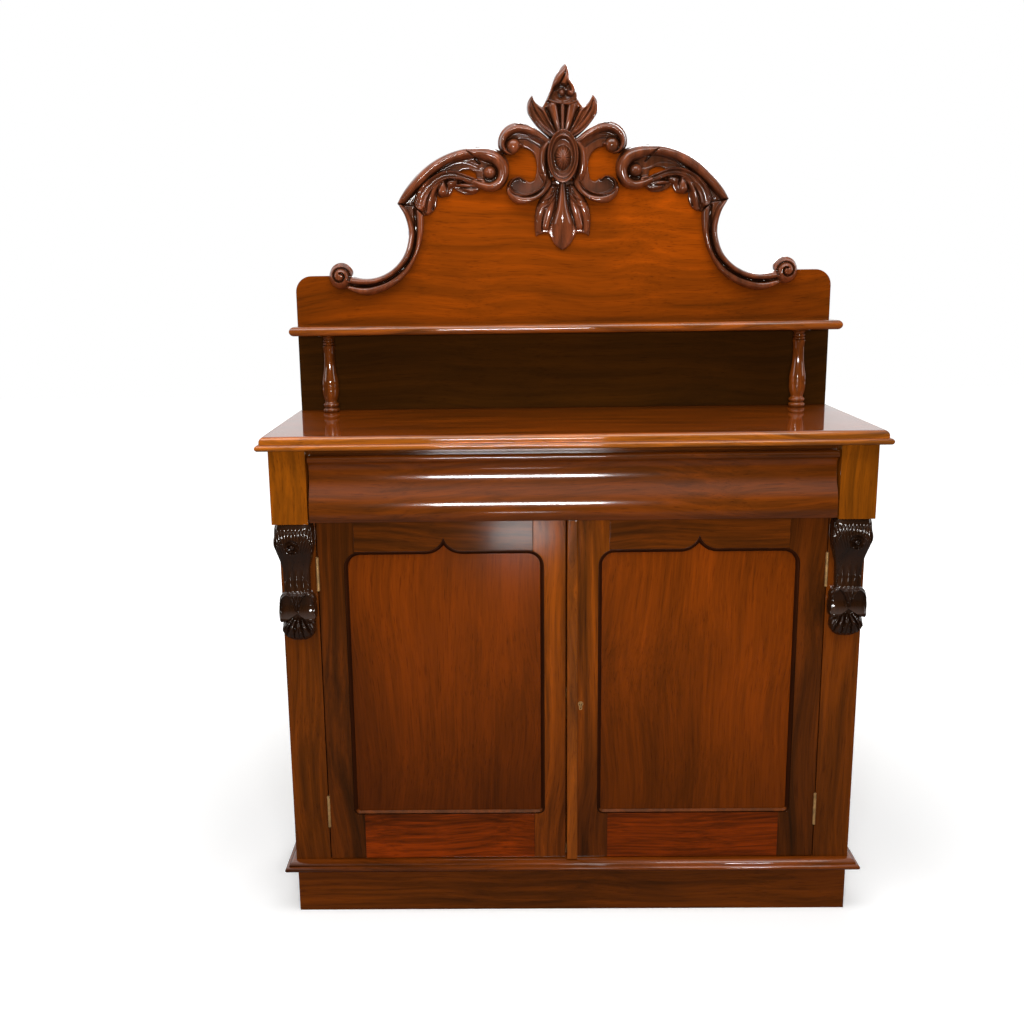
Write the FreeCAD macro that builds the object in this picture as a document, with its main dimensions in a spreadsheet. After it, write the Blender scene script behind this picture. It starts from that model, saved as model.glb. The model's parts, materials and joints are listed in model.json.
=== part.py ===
"""A Victorian mahogany chiffonier, as a parametric FreeCAD document.

Millimetres. X runs to the viewer's right, Y to the rear and Z up. The origin is on the floor,
in the middle of the box that holds the whole piece.
"""
import FreeCAD, Part
import math
import os

import Sketcher

Vector = FreeCAD.Vector

# Driving dimensions. "half" is measured from the middle plane, and a front or rear is a place along Y.
SIZES = {
    # carcase
    "case_half": 534.5, "case_front": -153.5, "case_rear": 200, "case_floor": 111, "case_ceiling": 923,
    "frame_thick": 22, "stile_width": 67, "side_thick": 18, "board_thick": 18, "stop_gap": 0.5,
    "rail_bottom": 787, "rail_top": 806, "rail_rear": -90, "top_rail_thick": 12,
    "back_front": 188, "back_thick": 8, "back_housing": 8, "muntin_half": 35, "muntin_front": 180,
    "shelf_underside": 431, "shelf_front": -112, "bearer_height": 22, "bearer_width": 18,
    "runner_width": 70, "runner_rear": 185, "guide_height": 20, "kicker_height": 16, "running_gap": 0.5,
    # plinth
    "plinth_half": 533, "plinth_front": -151.5, "plinth_height": 93, "plinth_thick": 20,
    "plinth_nose_half": 553.6, "plinth_nose": -175.3, "plinth_bead": 5, "plinth_quirk": 1.5,
    "plinth_ovolo_width": 10, "plinth_ovolo_radius": 10, "plinth_quirk_height": 1,
    "block_side": 38, "block_height": 86,
    # table top
    "top_nose_half": 560, "top_nose": -204, "top_rear": 204, "top_height": 948,
    "top_bead": 5.5, "top_quirk": 1.5, "top_quirk_height": 5, "top_ovolo": 9,
    # frieze blocks and corbels
    "block_inner": 474.5, "block_outer": 540.5, "block_front": -184, "corbel_middle": 504.5,
    "knob_radius": 9, "knob_height": 744, "knob_offset": 3.5,
    # drawer
    "drawer_half": 471, "drawer_back_plane": -154.5, "drawer_bottom_edge": 790, "drawer_top_edge": 911.5,
    "bulge_front": -190, "bulge_height": 808, "cove_front": -169, "cove_height": 882,
    "turn_front": -179.5, "turn_height": 845, "ogee_radius": 70.4, "lip_front": -183, "lip_radius": 26.6,
    "throat_front": -176, "throat_radius": 21.8, "drawer_bead": 6.75, "bead_front": -179,
    "box_half": 465.5, "box_side_thick": 9, "box_top": 905, "box_rear": 150, "box_back_thick": 12,
    "box_bottom_under": 815, "box_bottom_thick": 6, "groove_depth": 4,
    "tail_depth": 10, "tail_neck": 8, "tail_end": 10,
    # doors
    "door_outer": 465.5, "door_left_inner": 10, "door_right_inner": -8, "door_bottom": 113,
    "door_top": 784.5, "shoulder_inner": 70, "shoulder_outer": 398, "opening_inner": 50,
    "opening_outer": 418, "opening_bottom": 204, "opening_top": 728, "cusp_half": 34,
    "cusp_radius": 35.6, "opening_top_radius": 30, "opening_foot_radius": 12,
    "lip_thick": 7, "panel_thick": 8, "panel_housing": 8, "panel_top": 761, "moulding_width": 7,
    "moulding_depth": 6, "moulding_slope": 4, "tenon_length": 35, "tenon_thick": 8, "tenon_front": -146.5,
    "tenon_margin": 6, "astragal_width": 20.5, "astragal_depth": 9, "astragal_round": 3,
    # hinges
    "hinge_half": 466.5, "hinge_front": -154.5, "hinge_length": 64, "hinge_upper": 687,
    "hinge_lower": 212, "knuckle_radius": 2.5, "knuckle_gap": 0.5, "pin_radius": 1.25,
    "pin_bore": 1.4, "leaf_depth": 18, "leaf_thick": 1.6, "knuckle_groove": 3, "leaf_root": 3,
    # lock, keyhole and bolts
    "lock_width": 46, "lock_bottom": 395, "lock_height": 60, "lock_front": -146,
    "key_across": 18, "key_height": 425, "key_head": 5, "key_head_rise": 3.5, "key_slot_half": 3,
    "key_foot": 5.5, "key_depth": 2, "thread_thick": 1.3, "latch_width": 6, "latch_height": 18,
    "latch_length": 40, "latch_middle": 440, "latch_front": -143, "latch_play": 0.3, "latch_setback": 0.5,
    "latch_run_out": 2,
    "strike_depth": 9, "rod_across": -36, "rod_middle": -125.5, "rod_radius": 3, "rod_length": 80,
    "rod_setback": 1, "socket_radius": 3.5, "socket_depth": 12, "keeper_half": 10,
    "keeper_height": 15, "keeper_thick": 10.5, "keeper_bore": 3.3, "rod_knob": 3.5, "rod_knob_length": 9,
    "bottom_rod": 133, "knob_from_end": 9,
    # shaped back, shelf and columns
    "back_board_half": 543, "back_board_front": 183, "back_board_rear": 204, "back_board_side": 1190,
    "back_board_corner": 32,
    "shelf_half": 543, "display_front": 83, "display_under": 1106.5, "display_thick": 18,
    "column_half": 476, "column_middle": 153,
    # applied carving: how far each layer stands in front of the shaped back
    "ground_depth": 10, "cove_depth": 13, "stem_depth": 19, "bead_depth": 24, "leaf_depth_back": 16,
    "ball_middle": 447, "ball_height": 1219, "ball_radius": 25, "ball_depth": 27, "ball_round": 11,
    "eye_middle": 145, "eye_height": 1419, "eye_radius": 14, "eye_depth": 25, "eye_round": 8,
    "upper_eye_middle": 98, "upper_eye_height": 1469, "upper_eye_radius": 15, "upper_eye_round": 8,
    "lower_eye_middle": 85, "lower_eye_height": 1386, "lower_eye_radius": 24, "lower_eye_round": 8,
    "boss_height": 1446, "boss_half_height": 51, "boss_half_width": 31, "boss_depth": 34,
    "dish_half_height": 40, "dish_half_width": 21, "dish_depth": 5, "rosette_radius": 16,
    "finial_knob": 11, "finial_knob_height": 1572, "finial_knob_depth": 14,
}

doc = FreeCAD.newDocument("Chiffonier")
sheet = doc.addObject("Spreadsheet::Sheet", "Sizes")
for row, (alias, amount) in enumerate(SIZES.items(), start=1):
    sheet.set(f"A{row}", alias)
    sheet.set(f"B{row}", str(amount))
    sheet.setAlias(f"B{row}", alias)
doc.recompute()


class Size:
    """A length that holds its number and the expression over the sheet that gives it."""

    def __init__(self, number, text=None):
        self.number = float(number)
        self.text = text if text else f"({self.number!r})"

    def __add__(self, other):
        other = as_size(other)
        return Size(self.number + other.number, f"({self.text} + {other.text})")

    def __sub__(self, other):
        other = as_size(other)
        return Size(self.number - other.number, f"({self.text} - {other.text})")

    def __mul__(self, other):
        other = as_size(other)
        return Size(self.number * other.number, f"({self.text} * {other.text})")

    def __truediv__(self, other):
        other = as_size(other)
        return Size(self.number / other.number, f"({self.text} / {other.text})")

    def __neg__(self):
        return self * -1

    __radd__ = __add__
    __rmul__ = __mul__

    def __rsub__(self, other):
        return as_size(other) - self

    def root(self):
        return Size(math.sqrt(self.number), f"sqrt{self.text}")

    @property
    def bound(self):
        return "Sizes." in self.text


def as_size(value):
    return value if isinstance(value, Size) else Size(value)


class Lookup:
    """Gives each cell of the sheet as a Size, under the cell's alias."""

    def __getattr__(self, alias):
        return Size(SIZES[alias], "Sizes." + alias)


D = Lookup()
PIECES = []


def bind(owner, path, value):
    """Set a property of an object to a size, and keep it bound to the sheet."""
    owner.setExpression(path, as_size(value).text)


def piece(made, name):
    """Give a finished sub-part its name and list it for export."""
    made.Label = name
    PIECES.append(made)
    return made


def board(name, x, y, z):
    """A rectangular board between two places along each axis."""
    made = doc.addObject("Part::Box", name)
    for axis, length, (start, end) in zip("xyz", ("Length", "Width", "Height"), (x, y, z)):
        bind(made, length, as_size(end) - start)
        bind(made, "Placement.Base." + axis, start)
    return made


def rod(name, centre, radius, length, along="z"):
    """A round bar from a centre point, running up or to the rear."""
    made = doc.addObject("Part::Cylinder", name)
    turn = {"z": (Vector(0, 0, 1), 0), "y": (Vector(1, 0, 0), -90)}
    made.Placement.Rotation = FreeCAD.Rotation(*turn[along])
    bind(made, "Radius", radius)
    bind(made, "Height", length)
    for axis, place in zip("xyz", centre):
        bind(made, "Placement.Base." + axis, place)
    return made


def cut(name, base, *tools):
    made = doc.addObject("Part::Cut", name)
    made.Base = base
    made.Tool = tools[0] if len(tools) == 1 else fuse(name + "_tools", *tools)
    return made


def fuse(name, *shapes):
    made = doc.addObject("Part::MultiFuse", name)
    made.Shapes = list(shapes)
    made.Refine = True
    return made


def common(name, first, second):
    made = doc.addObject("Part::MultiCommon", name)
    made.Shapes = [first, second]
    return made


def group(name, *solids):
    """Separate solids of one kind, kept together as one sub-part."""
    made = doc.addObject("Part::Compound", name)
    made.Links = list(solids)
    return made


def span(side, inner, outer):
    """A reach along X, given from the middle outwards, on the left (-1) or the right (1)."""
    return (as_size(inner), as_size(outer)) if side > 0 else (-as_size(outer), -as_size(inner))


def hand(side):
    return "right" if side > 0 else "left"


# Outlines. Each corner is (across, up, radius), and the radius is that of the arc that arrives at the
# corner: None for a straight edge, positive for an arc that bends to the left of the way it is drawn.
# The first corner's radius belongs to the edge that closes the outline.

def mirrored(half):
    """The whole outline of a symmetrical piece, from its right half drawn from bottom to top."""
    whole = list(half)
    arriving = None
    for across, up, radius in reversed(half):
        if as_size(across).number != 0:
            whole.append((-as_size(across), up, arriving))
        arriving = radius
    if as_size(half[0][0]).number == 0:
        whole[0] = (half[0][0], half[0][1], half[1][2])
    return whole


def sided(outline, side):
    """The outline itself on the right, and its mirror image on the left."""
    return [(as_size(across) * side, up, None if radius is None else as_size(radius) * side)
            for across, up, radius in outline]


def arc_between(start, end, radius):
    """An arc of up to half a turn; a positive radius bends to the left of the way from start to end."""
    way = end - start
    reach = math.sqrt(max(radius * radius - way.Length ** 2 / 4, 0))
    left = Vector(-way.y, way.x, 0).normalize()
    centre = (start + end) * 0.5 + left * math.copysign(reach, radius)
    first, last = (start, end) if radius > 0 else (end, start)
    angles = [math.atan2(place.y - centre.y, place.x - centre.x) for place in (first, last)]
    return Part.ArcOfCircle(Part.Circle(centre, Vector(0, 0, 1), abs(radius)), *angles)


def draw(sketch, outline):
    """Draw a closed outline in a sketch, each corner and radius held by a constraint."""
    first_edge = sketch.GeometryCount
    count = len(outline)
    corners = [(as_size(across), as_size(up)) for across, up, _ in outline]
    ends = []
    for index in range(count):
        radius = outline[(index + 1) % count][2]
        start, end = [Vector(corners[place % count][0].number, corners[place % count][1].number, 0)
                      for place in (index, index + 1)]
        if radius is None:
            sketch.addGeometry(Part.LineSegment(start, end), False)
        else:
            sketch.addGeometry(arc_between(start, end, as_size(radius).number), False)
        ends.append((1, 2) if radius is None or as_size(radius).number > 0 else (2, 1))
    for index in range(count):
        following = (index + 1) % count
        sketch.addConstraint(Sketcher.Constraint("Coincident", first_edge + index, ends[index][1],
                                                 first_edge + following, ends[following][0]))
    for index in range(count):
        for kind, place in zip(("DistanceX", "DistanceY"), corners[index]):
            hold(sketch, place, kind, -1, 1, first_edge + index, ends[index][0])
        radius = outline[(index + 1) % count][2]
        if radius is not None:
            hold(sketch, as_size(abs(as_size(radius).number)) if not as_size(radius).bound
                 else as_size(radius) * math.copysign(1, as_size(radius).number),
                 "Radius", first_edge + index)


def hold(sketch, size, kind, *where):
    """Add one dimension to a sketch, bound to the sheet where its size comes from there."""
    number = sketch.addConstraint(Sketcher.Constraint(kind, *where, size.number))
    if size.bound:
        bind(sketch, f"Constraints[{number}]", size)


def plane_of(body, role):
    return [feature for feature in body.Origin.OriginFeatures if feature.Role == role][0]


def new_sketch(body, role, *outlines):
    sketch = body.newObject("Sketcher::SketchObject", body.Name + "_outline")
    sketch.AttachmentSupport = [(plane_of(body, role), "")]
    sketch.MapMode = "FlatFace"
    for outline in outlines:
        draw(sketch, outline)
    return sketch


def padded(name, role, outlines, start, length):
    """A body with one pad. It grows forwards from start on the front plane, and up or right on the others."""
    body = doc.addObject("PartDesign::Body", name)
    sketch = new_sketch(body, role, *outlines)
    pad = body.newObject("PartDesign::Pad", name + "_pad")
    pad.Profile = sketch
    bind(pad, "Length", length)
    bind(body, "Placement.Base." + {"XZ_Plane": "y", "YZ_Plane": "x", "XY_Plane": "z"}[role], start)
    return body


def fretted(name, outline, start, depth):
    """A piece sawn to an outline seen from the front, from start forwards."""
    return padded(name, "XZ_Plane", [outline], start, depth)


def turned(name, role, outline, place):
    """A turned piece: the outline, given from its axis outwards, goes once round the vertical sketch axis."""
    body = doc.addObject("PartDesign::Body", name)
    sketch = new_sketch(body, role, outline)
    turning = body.newObject("PartDesign::Revolution", name + "_turning")
    turning.Profile = sketch
    turning.ReferenceAxis = (sketch, ["V_Axis"])
    turning.Angle = 360
    for axis, where in zip("xyz", place):
        bind(body, "Placement.Base." + axis, where)
    return body


def button(name, place, radius, depth, rounding):
    """A round knob that stands forwards from a face, its front edge eased by a slope."""
    outline = [(0, 0, None), (0, -depth, None), (radius - rounding, -depth, None),
               (radius, rounding - depth, None), (radius, 0, None)]
    return turned(name, "XY_Plane", outline, place)


def edge_moulding(half, nose, bottom, bead, quirk, quirk_height, ovolo_width, ovolo_height, ovolo_radius):
    """The corners of a moulded front edge from below: a bead, a quirk and an ovolo, back from the nose."""
    bead_top = bottom + bead * 2
    quirk_top = bead_top + quirk_height
    inner = bead + quirk
    return [(nose(bead), bottom, None), (nose(as_size(0)), bottom + bead, half * bead),
            (nose(bead), bead_top, half * bead), (nose(inner), bead_top, None),
            (nose(inner), quirk_top, None),
            (nose(inner + ovolo_width), quirk_top + ovolo_height, half * ovolo_radius)]


def moulded_sections(name, nose_half, nose_front, rear, bottom, top, edge_sizes):
    """The front section run along X and the section across the ends run along Y, as two bodies."""
    front = [(rear, top, None), (rear, bottom, None)]
    front += edge_moulding(-1, lambda back: nose_front + back, bottom, *edge_sizes)
    run = padded(name + "_front_run", "YZ_Plane", [front], -nose_half, nose_half * 2)
    ends = mirrored([(0, bottom, None)]
                    + edge_moulding(1, lambda back: nose_half - back, bottom, *edge_sizes))
    across = fretted(name + "_end_run", ends, rear, rear - nose_front)
    return run, across


# ---------------------------------------------------------------- carcase

CASE_BACK = D.case_front + D.frame_thick
CASE_INNER = D.case_half - D.side_thick
OPENING_HALF = D.case_half - D.stile_width
HINGE_PLACES = (D.hinge_lower, D.hinge_upper)


def hinge_recess(name, side, faces_out):
    """The sunk seats for two leaves, in the edge that faces the hinge from outside or from inside."""
    gap = D.hinge_half - D.door_outer
    near = D.hinge_half + gap if faces_out else D.hinge_half - gap - D.leaf_thick
    seats = []
    for middle in HINGE_PLACES:
        z = (middle - D.hinge_length / 2, middle + D.hinge_length / 2)
        seats.append(board(name + "_leaf_seat", span(side, near, near + D.leaf_thick),
                           (D.hinge_front, D.hinge_front + D.leaf_depth), z))
        seats.append(rod(name + "_knuckle_seat", (D.hinge_half * side, D.hinge_front, z[0]),
                         D.knuckle_groove, D.hinge_length))
    return seats


def back_panel(side):
    return board("back_panel_" + hand(side),
                 span(side, D.muntin_half - D.back_housing, CASE_INNER + D.back_housing),
                 (D.back_front, D.back_front + D.back_thick), (D.case_floor, D.case_ceiling))


def carcase():
    panels = [back_panel(side) for side in (-1, 1)]
    height = (D.case_floor, D.case_ceiling)
    for side in (-1, 1):
        plain = board("side_board", span(side, CASE_INNER, D.case_half), (CASE_BACK, D.case_rear), height)
        rebate = board("side_rebate", span(side, CASE_INNER, CASE_INNER + D.back_housing),
                       (D.back_front, D.case_rear), height)
        piece(cut("side_cut", plain, rebate), "case_side_" + hand(side))
        front = board("stile_board", span(side, OPENING_HALF, D.case_half), (D.case_front, CASE_BACK), height)
        piece(cut("stile_cut", front, *hinge_recess("stile", side, True)), "stile_" + hand(side))

    floor = board("floor_board", (-CASE_INNER, CASE_INNER), (CASE_BACK + D.stop_gap, D.back_front),
                  (D.case_floor, D.case_floor + D.board_thick))
    floor_socket = rod("floor_socket", (D.rod_across, D.rod_middle,
                                        D.case_floor + D.board_thick - D.socket_depth),
                       D.socket_radius, D.socket_depth)
    piece(cut("floor_cut", floor, floor_socket), "bottom_board")

    rail = board("rail_board", (-OPENING_HALF, OPENING_HALF), (D.case_front, D.rail_rear),
                 (D.rail_bottom, D.rail_top))
    rail_socket = rod("rail_socket", (D.rod_across, D.rod_middle, D.rail_bottom),
                      D.socket_radius, D.socket_depth)
    piece(cut("rail_cut", rail, rail_socket), "drawer_rail")
    piece(board("upper_rail", (-OPENING_HALF, OPENING_HALF), (D.case_front, D.rail_rear),
                (D.case_ceiling - D.top_rail_thick, D.case_ceiling)), "top_rail")

    guide_inner = OPENING_HALF - D.running_gap
    bearers = []
    for side in (-1, 1):
        depth = (D.rail_rear, D.runner_rear)
        wide = span(side, CASE_INNER - D.runner_width, CASE_INNER)
        runner = board("runner", wide, depth, (D.rail_bottom, D.rail_top))
        guide = board("guide", span(side, guide_inner, CASE_INNER), depth,
                      (D.rail_top, D.rail_top + D.guide_height))
        kicker = board("kicker", wide, depth, (D.case_ceiling - D.kicker_height, D.case_ceiling))
        bearers += [runner, guide, kicker]
    piece(group("bearers", *bearers), "drawer_bearers")

    piece(board("shelf_board", (-CASE_INNER, CASE_INNER), (D.shelf_front, D.muntin_front),
                (D.shelf_underside, D.shelf_underside + D.board_thick)), "inner_shelf")
    battens = [board("batten", span(side, CASE_INNER - D.bearer_width, CASE_INNER),
                     (D.shelf_front, D.muntin_front),
                     (D.shelf_underside - D.bearer_height, D.shelf_underside)) for side in (-1, 1)]
    piece(group("battens", *battens), "shelf_bearers")

    piece(group("panels", *panels), "back_panels")
    middle = board("muntin_board", (-D.muntin_half, D.muntin_half), (D.muntin_front, D.case_rear), height)
    piece(cut("muntin_cut", middle, floor, *panels), "back_muntin")
    blocks = [board("frieze_block", span(side, D.block_inner, D.block_outer),
                    (D.block_front, D.case_front), (D.rail_bottom, D.case_ceiling)) for side in (-1, 1)]
    piece(group("blocks", *blocks), "frieze_blocks")


# ---------------------------------------------------------------- plinth and top

def plinth():
    height = (Size(0), D.plinth_height)
    inner = D.plinth_half - D.plinth_thick
    back_plane = D.plinth_front + D.plinth_thick
    piece(board("front", (-D.plinth_half, D.plinth_half), (D.plinth_front, back_plane), height),
          "plinth_front")
    ends = [board("end", span(side, inner, D.plinth_half), (back_plane, D.case_rear), height)
            for side in (-1, 1)]
    piece(group("ends", *ends), "plinth_ends")
    rear = (D.case_rear - D.plinth_thick, D.case_rear)
    piece(board("back", (-inner, inner), rear, height), "plinth_back")
    blocks = []
    for side in (-1, 1):
        for y in ((back_plane, back_plane + D.block_side), (rear[0] - D.block_side, rear[0])):
            blocks.append(board("block", span(side, inner - D.block_side, inner), y,
                                (D.plinth_height - D.block_height, D.plinth_height)))
    piece(group("blocks", *blocks), "plinth_blocks")

    ovolo_height = D.case_floor - D.plinth_height - D.plinth_bead * 2 - D.plinth_quirk_height
    edge = (D.plinth_bead, D.plinth_quirk, D.plinth_quirk_height, D.plinth_ovolo_width, ovolo_height,
            D.plinth_ovolo_radius)
    run, across = moulded_sections("plinth", D.plinth_nose_half, D.plinth_nose, D.case_rear,
                                   D.plinth_height, D.case_floor, edge)
    width = CASE_BACK - D.plinth_nose
    mitre_half = D.plinth_nose_half - width
    front_plan = mirrored([(D.plinth_nose_half, D.plinth_nose, None), (mitre_half, CASE_BACK, None)])
    front_plan = padded("plinth_front_plan", "XY_Plane", [front_plan], D.plinth_height,
                        D.case_floor - D.plinth_height)
    lengths = [common("front_length", run, front_plan)]
    for side in (-1, 1):
        plan = sided([(D.plinth_nose_half, D.plinth_nose, None), (D.plinth_nose_half, D.case_rear, None),
                      (mitre_half, D.case_rear, None), (mitre_half, CASE_BACK, None)], side)
        plan = padded("plinth_end_plan", "XY_Plane", [plan], D.plinth_height,
                      D.case_floor - D.plinth_height)
        lengths.append(common("end_length", across, plan))
    piece(group("moulding_lengths", *lengths), "plinth_moulding")


def table_top():
    edge = (D.top_bead, D.top_quirk, D.top_quirk_height, D.top_ovolo, D.top_ovolo, D.top_ovolo)
    run, across = moulded_sections("top", D.top_nose_half, D.top_nose, D.top_rear, D.case_ceiling,
                                   D.top_height, edge)
    piece(common("top_board", run, across), "table_top")


# ---------------------------------------------------------------- corbels

# Side view of a corbel, from the foot up: (front, height, radius).
CORBEL_SIDE = [
    (-153.5, 561, None), (-158, 561, None), (-171, 580, -15), (-164, 598, -13), (-168, 602, None),
    (-178, 626, -25), (-166, 655, -50), (-165, 700, 320), (-168, 714, None), (-182.5, 740, -20),
    (-178, 772, -26), (-184, 787, 45), (-153.5, 787, None),
]
# Right half of its front view, about its own middle line.
CORBEL_FRONT = [
    (0, 561, None), (10, 561, None), (31, 582, 30), (29.5, 598, None), (33, 604, None), (33, 634, 60),
    (24, 656, 20), (25, 700, None), (34.5, 735, None), (36, 766, 160), (33, 787, 60),
]


def corbels():
    for side in (-1, 1):
        name = "corbel_" + hand(side)
        run = padded(name + "_side_run", "YZ_Plane", [CORBEL_SIDE],
                     D.corbel_middle * side - D.stile_width, D.stile_width * 2)
        face = fretted(name + "_face", mirrored(CORBEL_FRONT), D.case_front, D.frame_thick * 2)
        bind(face, "Placement.Base.x", D.corbel_middle * side)
        rosette = button(name + "_rosette", ((D.corbel_middle + D.knob_offset) * side,
                                             D.block_front + D.knob_radius, D.knob_height),
                         D.knob_radius, D.knob_radius, D.knob_radius / 2)
        piece(fuse(name + "_body", common(name + "_block", run, face), rosette), name)


# ---------------------------------------------------------------- drawer

def tail_outline(front, rear, bottom, top):
    """Side view of a drawer side, with three dovetails on its front end."""
    pitch = (top - bottom) / 3
    outline = [(rear, top, None), (rear, bottom, None), (front, bottom, None)]
    for number in range(3):
        middle = bottom + pitch * (number + 0.5)
        outline += [(front, middle - D.tail_neck, None),
                    (front - D.tail_depth, middle - D.tail_end, None),
                    (front - D.tail_depth, middle + D.tail_end, None),
                    (front, middle + D.tail_neck, None)]
    return outline + [(front, top, None)]


def drawer():
    back = D.drawer_back_plane
    profile = [
        (back, D.drawer_top_edge, None), (back, D.drawer_bottom_edge, None),
        (D.lip_front, D.drawer_bottom_edge, None), (D.bulge_front, D.bulge_height, -D.lip_radius),
        (D.turn_front, D.turn_height, -D.ogee_radius), (D.cove_front, D.cove_height, D.ogee_radius),
        (D.throat_front, D.drawer_top_edge - D.drawer_bead * 2, D.throat_radius),
        (D.bead_front, D.drawer_top_edge - D.drawer_bead * 2, None),
        (D.bead_front - D.drawer_bead, D.drawer_top_edge - D.drawer_bead, -D.drawer_bead),
        (D.bead_front, D.drawer_top_edge, -D.drawer_bead),
    ]
    front = padded("drawer_front_run", "YZ_Plane", [profile], -D.drawer_half, D.drawer_half * 2)
    box_bottom = D.rail_top + D.running_gap
    inner = D.box_half - D.box_side_thick
    reach = inner + D.groove_depth
    panel = board("bottom_panel", (-reach, reach), (back - D.groove_depth, D.box_rear),
                  (D.box_bottom_under, D.box_bottom_under + D.box_bottom_thick))
    sides = []
    for side in (-1, 1):
        outline = tail_outline(back, D.box_rear, box_bottom, D.box_top)
        start = inner if side > 0 else -D.box_half
        made = padded("drawer_side_board", "YZ_Plane", [outline], start, D.box_side_thick)
        sides.append(cut("drawer_side_grooved", made, panel))
    piece(group("sides", *sides), "drawer_sides")
    piece(cut("drawer_front_cut", front, panel, *sides), "drawer_front")
    piece(board("drawer_back_board", (-inner, inner), (D.box_rear - D.box_back_thick, D.box_rear),
                (D.box_bottom_under + D.box_bottom_thick, D.box_top)), "drawer_back")
    piece(panel, "drawer_bottom")


# ---------------------------------------------------------------- doors

def opening_outline(inset):
    """The door opening about the panel's middle line, with its cusped head, drawn inset by a margin."""
    half = (D.opening_outer - D.opening_inner) / 2 - inset
    bottom = D.opening_bottom + inset
    top = D.opening_top - inset
    cusp_radius = D.cusp_radius + inset
    springing = D.cusp_half
    rise = cusp_radius - (cusp_radius * cusp_radius - springing * springing).root()
    foot = D.opening_foot_radius - inset
    head = D.opening_top_radius - inset
    return mirrored([
        (half - foot, bottom, None), (half, bottom + foot, foot), (half, top - head, None),
        (half - head, top, head), (springing, top, None), (Size(0), top + rise, -cusp_radius),
    ])


def door(side, inner_edge):
    """One door; inner_edge is where its meeting edge lies, counted outwards from the middle."""
    name = "door_" + hand(side)
    middle = (D.opening_inner + D.opening_outer) / 2 * side
    panel_x = span(side, D.opening_inner - D.panel_housing, D.opening_outer + D.panel_housing)
    panel_front = D.case_front + D.lip_thick
    panel_back = panel_front + D.panel_thick
    depth = (D.case_front, CASE_BACK)

    panel = board(name + "_panel_board", panel_x, (panel_front, panel_back),
                  (D.opening_bottom - D.panel_housing, D.panel_top))
    sight = fretted(name + "_sight", opening_outline(Size(0)), panel_front, D.lip_thick)
    bind(sight, "Placement.Base.x", middle)
    behind = board(name + "_behind", span(side, D.opening_inner, D.opening_outer),
                   (panel_back, CASE_BACK), (D.opening_bottom, D.opening_top))
    hollow = (sight, panel, behind)

    rails = {}
    tenons = []
    tenon_x = span(side, D.shoulder_inner - D.tenon_length, D.shoulder_outer + D.tenon_length)
    for place, low, high in (("bottom", D.door_bottom, D.opening_bottom - D.panel_housing),
                             ("top", D.panel_top, D.door_top)):
        tenon = board(f"{name}_{place}_tenon", tenon_x, (D.tenon_front, D.tenon_front + D.tenon_thick),
                      (low + D.tenon_margin, high - D.tenon_margin / 2))
        tenons.append(tenon)
        z = (D.door_bottom, D.opening_bottom) if place == "bottom" else (D.opening_top, D.door_top)
        plank = board(f"{name}_{place}_plank", span(side, D.shoulder_inner, D.shoulder_outer), depth, z)
        rails[place] = cut(f"{name}_{place}_cut", fuse(f"{name}_{place}_blank", plank, tenon), *hollow)
        piece(rails[place], f"{name}_{place}_rail")

    height = (D.door_bottom, D.door_top)
    outer = board(name + "_outer_plank", span(side, D.shoulder_outer, D.door_outer), depth, height)
    seats = hinge_recess(name, side, False)
    piece(cut(name + "_outer_cut", outer, *hollow, *tenons, *seats), name + "_hinge_stile")

    inner = board(name + "_inner_plank", span(side, inner_edge, D.shoulder_inner), depth, height)
    fittings = lock_tools() if side > 0 else [strike()]
    piece(cut(name + "_inner_cut", inner, *hollow, *tenons, *fittings), name + "_meeting_stile")
    piece(panel, name + "_panel")
    piece(door_moulding(name, middle, panel_front), name + "_moulding")


def door_moulding(name, middle, panel_front):
    """The sunk moulding that frames the panel: a flat ring with its inner edge worked to a hollow slope."""
    body = padded(name + "_ring", "XZ_Plane", [opening_outline(Size(0)), opening_outline(D.moulding_width)],
                  panel_front, D.moulding_depth)
    bind(body, "Placement.Base.x", middle)
    doc.recompute()
    ring = body.Tip
    front = min(ring.Shape.Faces, key=lambda face: face.CenterOfMass.y)
    inner_wire = min(front.Wires, key=lambda wire: wire.BoundBox.DiagonalLength)
    edges = []
    for number, edge in enumerate(ring.Shape.Edges, start=1):
        if any(edge.isSame(other) for other in inner_wire.Edges):
            edges.append(f"Edge{number}")
    slope = body.newObject("PartDesign::Chamfer", name + "_slope")
    slope.Base = (ring, edges)
    bind(slope, "Size", D.moulding_slope)
    body.Tip = slope
    return body


def keyhole_outline(margin):
    """A keyhole about its own middle: a round head over a round-ended slot, drawn inset by a margin."""
    head = D.key_head - margin
    slot = D.key_slot_half - margin
    neck = D.key_head_rise - (head * head - slot * slot).root()
    return mirrored([(Size(0), -D.key_foot - slot, None), (slot, -D.key_foot, slot), (slot, neck, None),
                     (Size(0), D.key_head_rise + head, head)])


def at_keyhole(body):
    bind(body, "Placement.Base.x", D.key_across)
    bind(body, "Placement.Base.z", D.key_height)
    return body


def lock_box(name):
    edge = D.door_right_inner
    return board(name, (edge, edge + D.lock_width), (D.lock_front, CASE_BACK),
                 (D.lock_bottom, D.lock_bottom + D.lock_height))


def lock_tools():
    """What is cut from the right meeting stile: the lock's seat, the keyhole and the thread's seat."""
    seat = D.case_front + D.key_depth
    hole = at_keyhole(fretted("keyhole_through", keyhole_outline(D.thread_thick), D.lock_front,
                              D.lock_front - seat))
    thread_seat = at_keyhole(fretted("thread_seat", keyhole_outline(Size(0)), seat, D.key_depth))
    return [lock_box("lock_seat"), hole, thread_seat]


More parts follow.
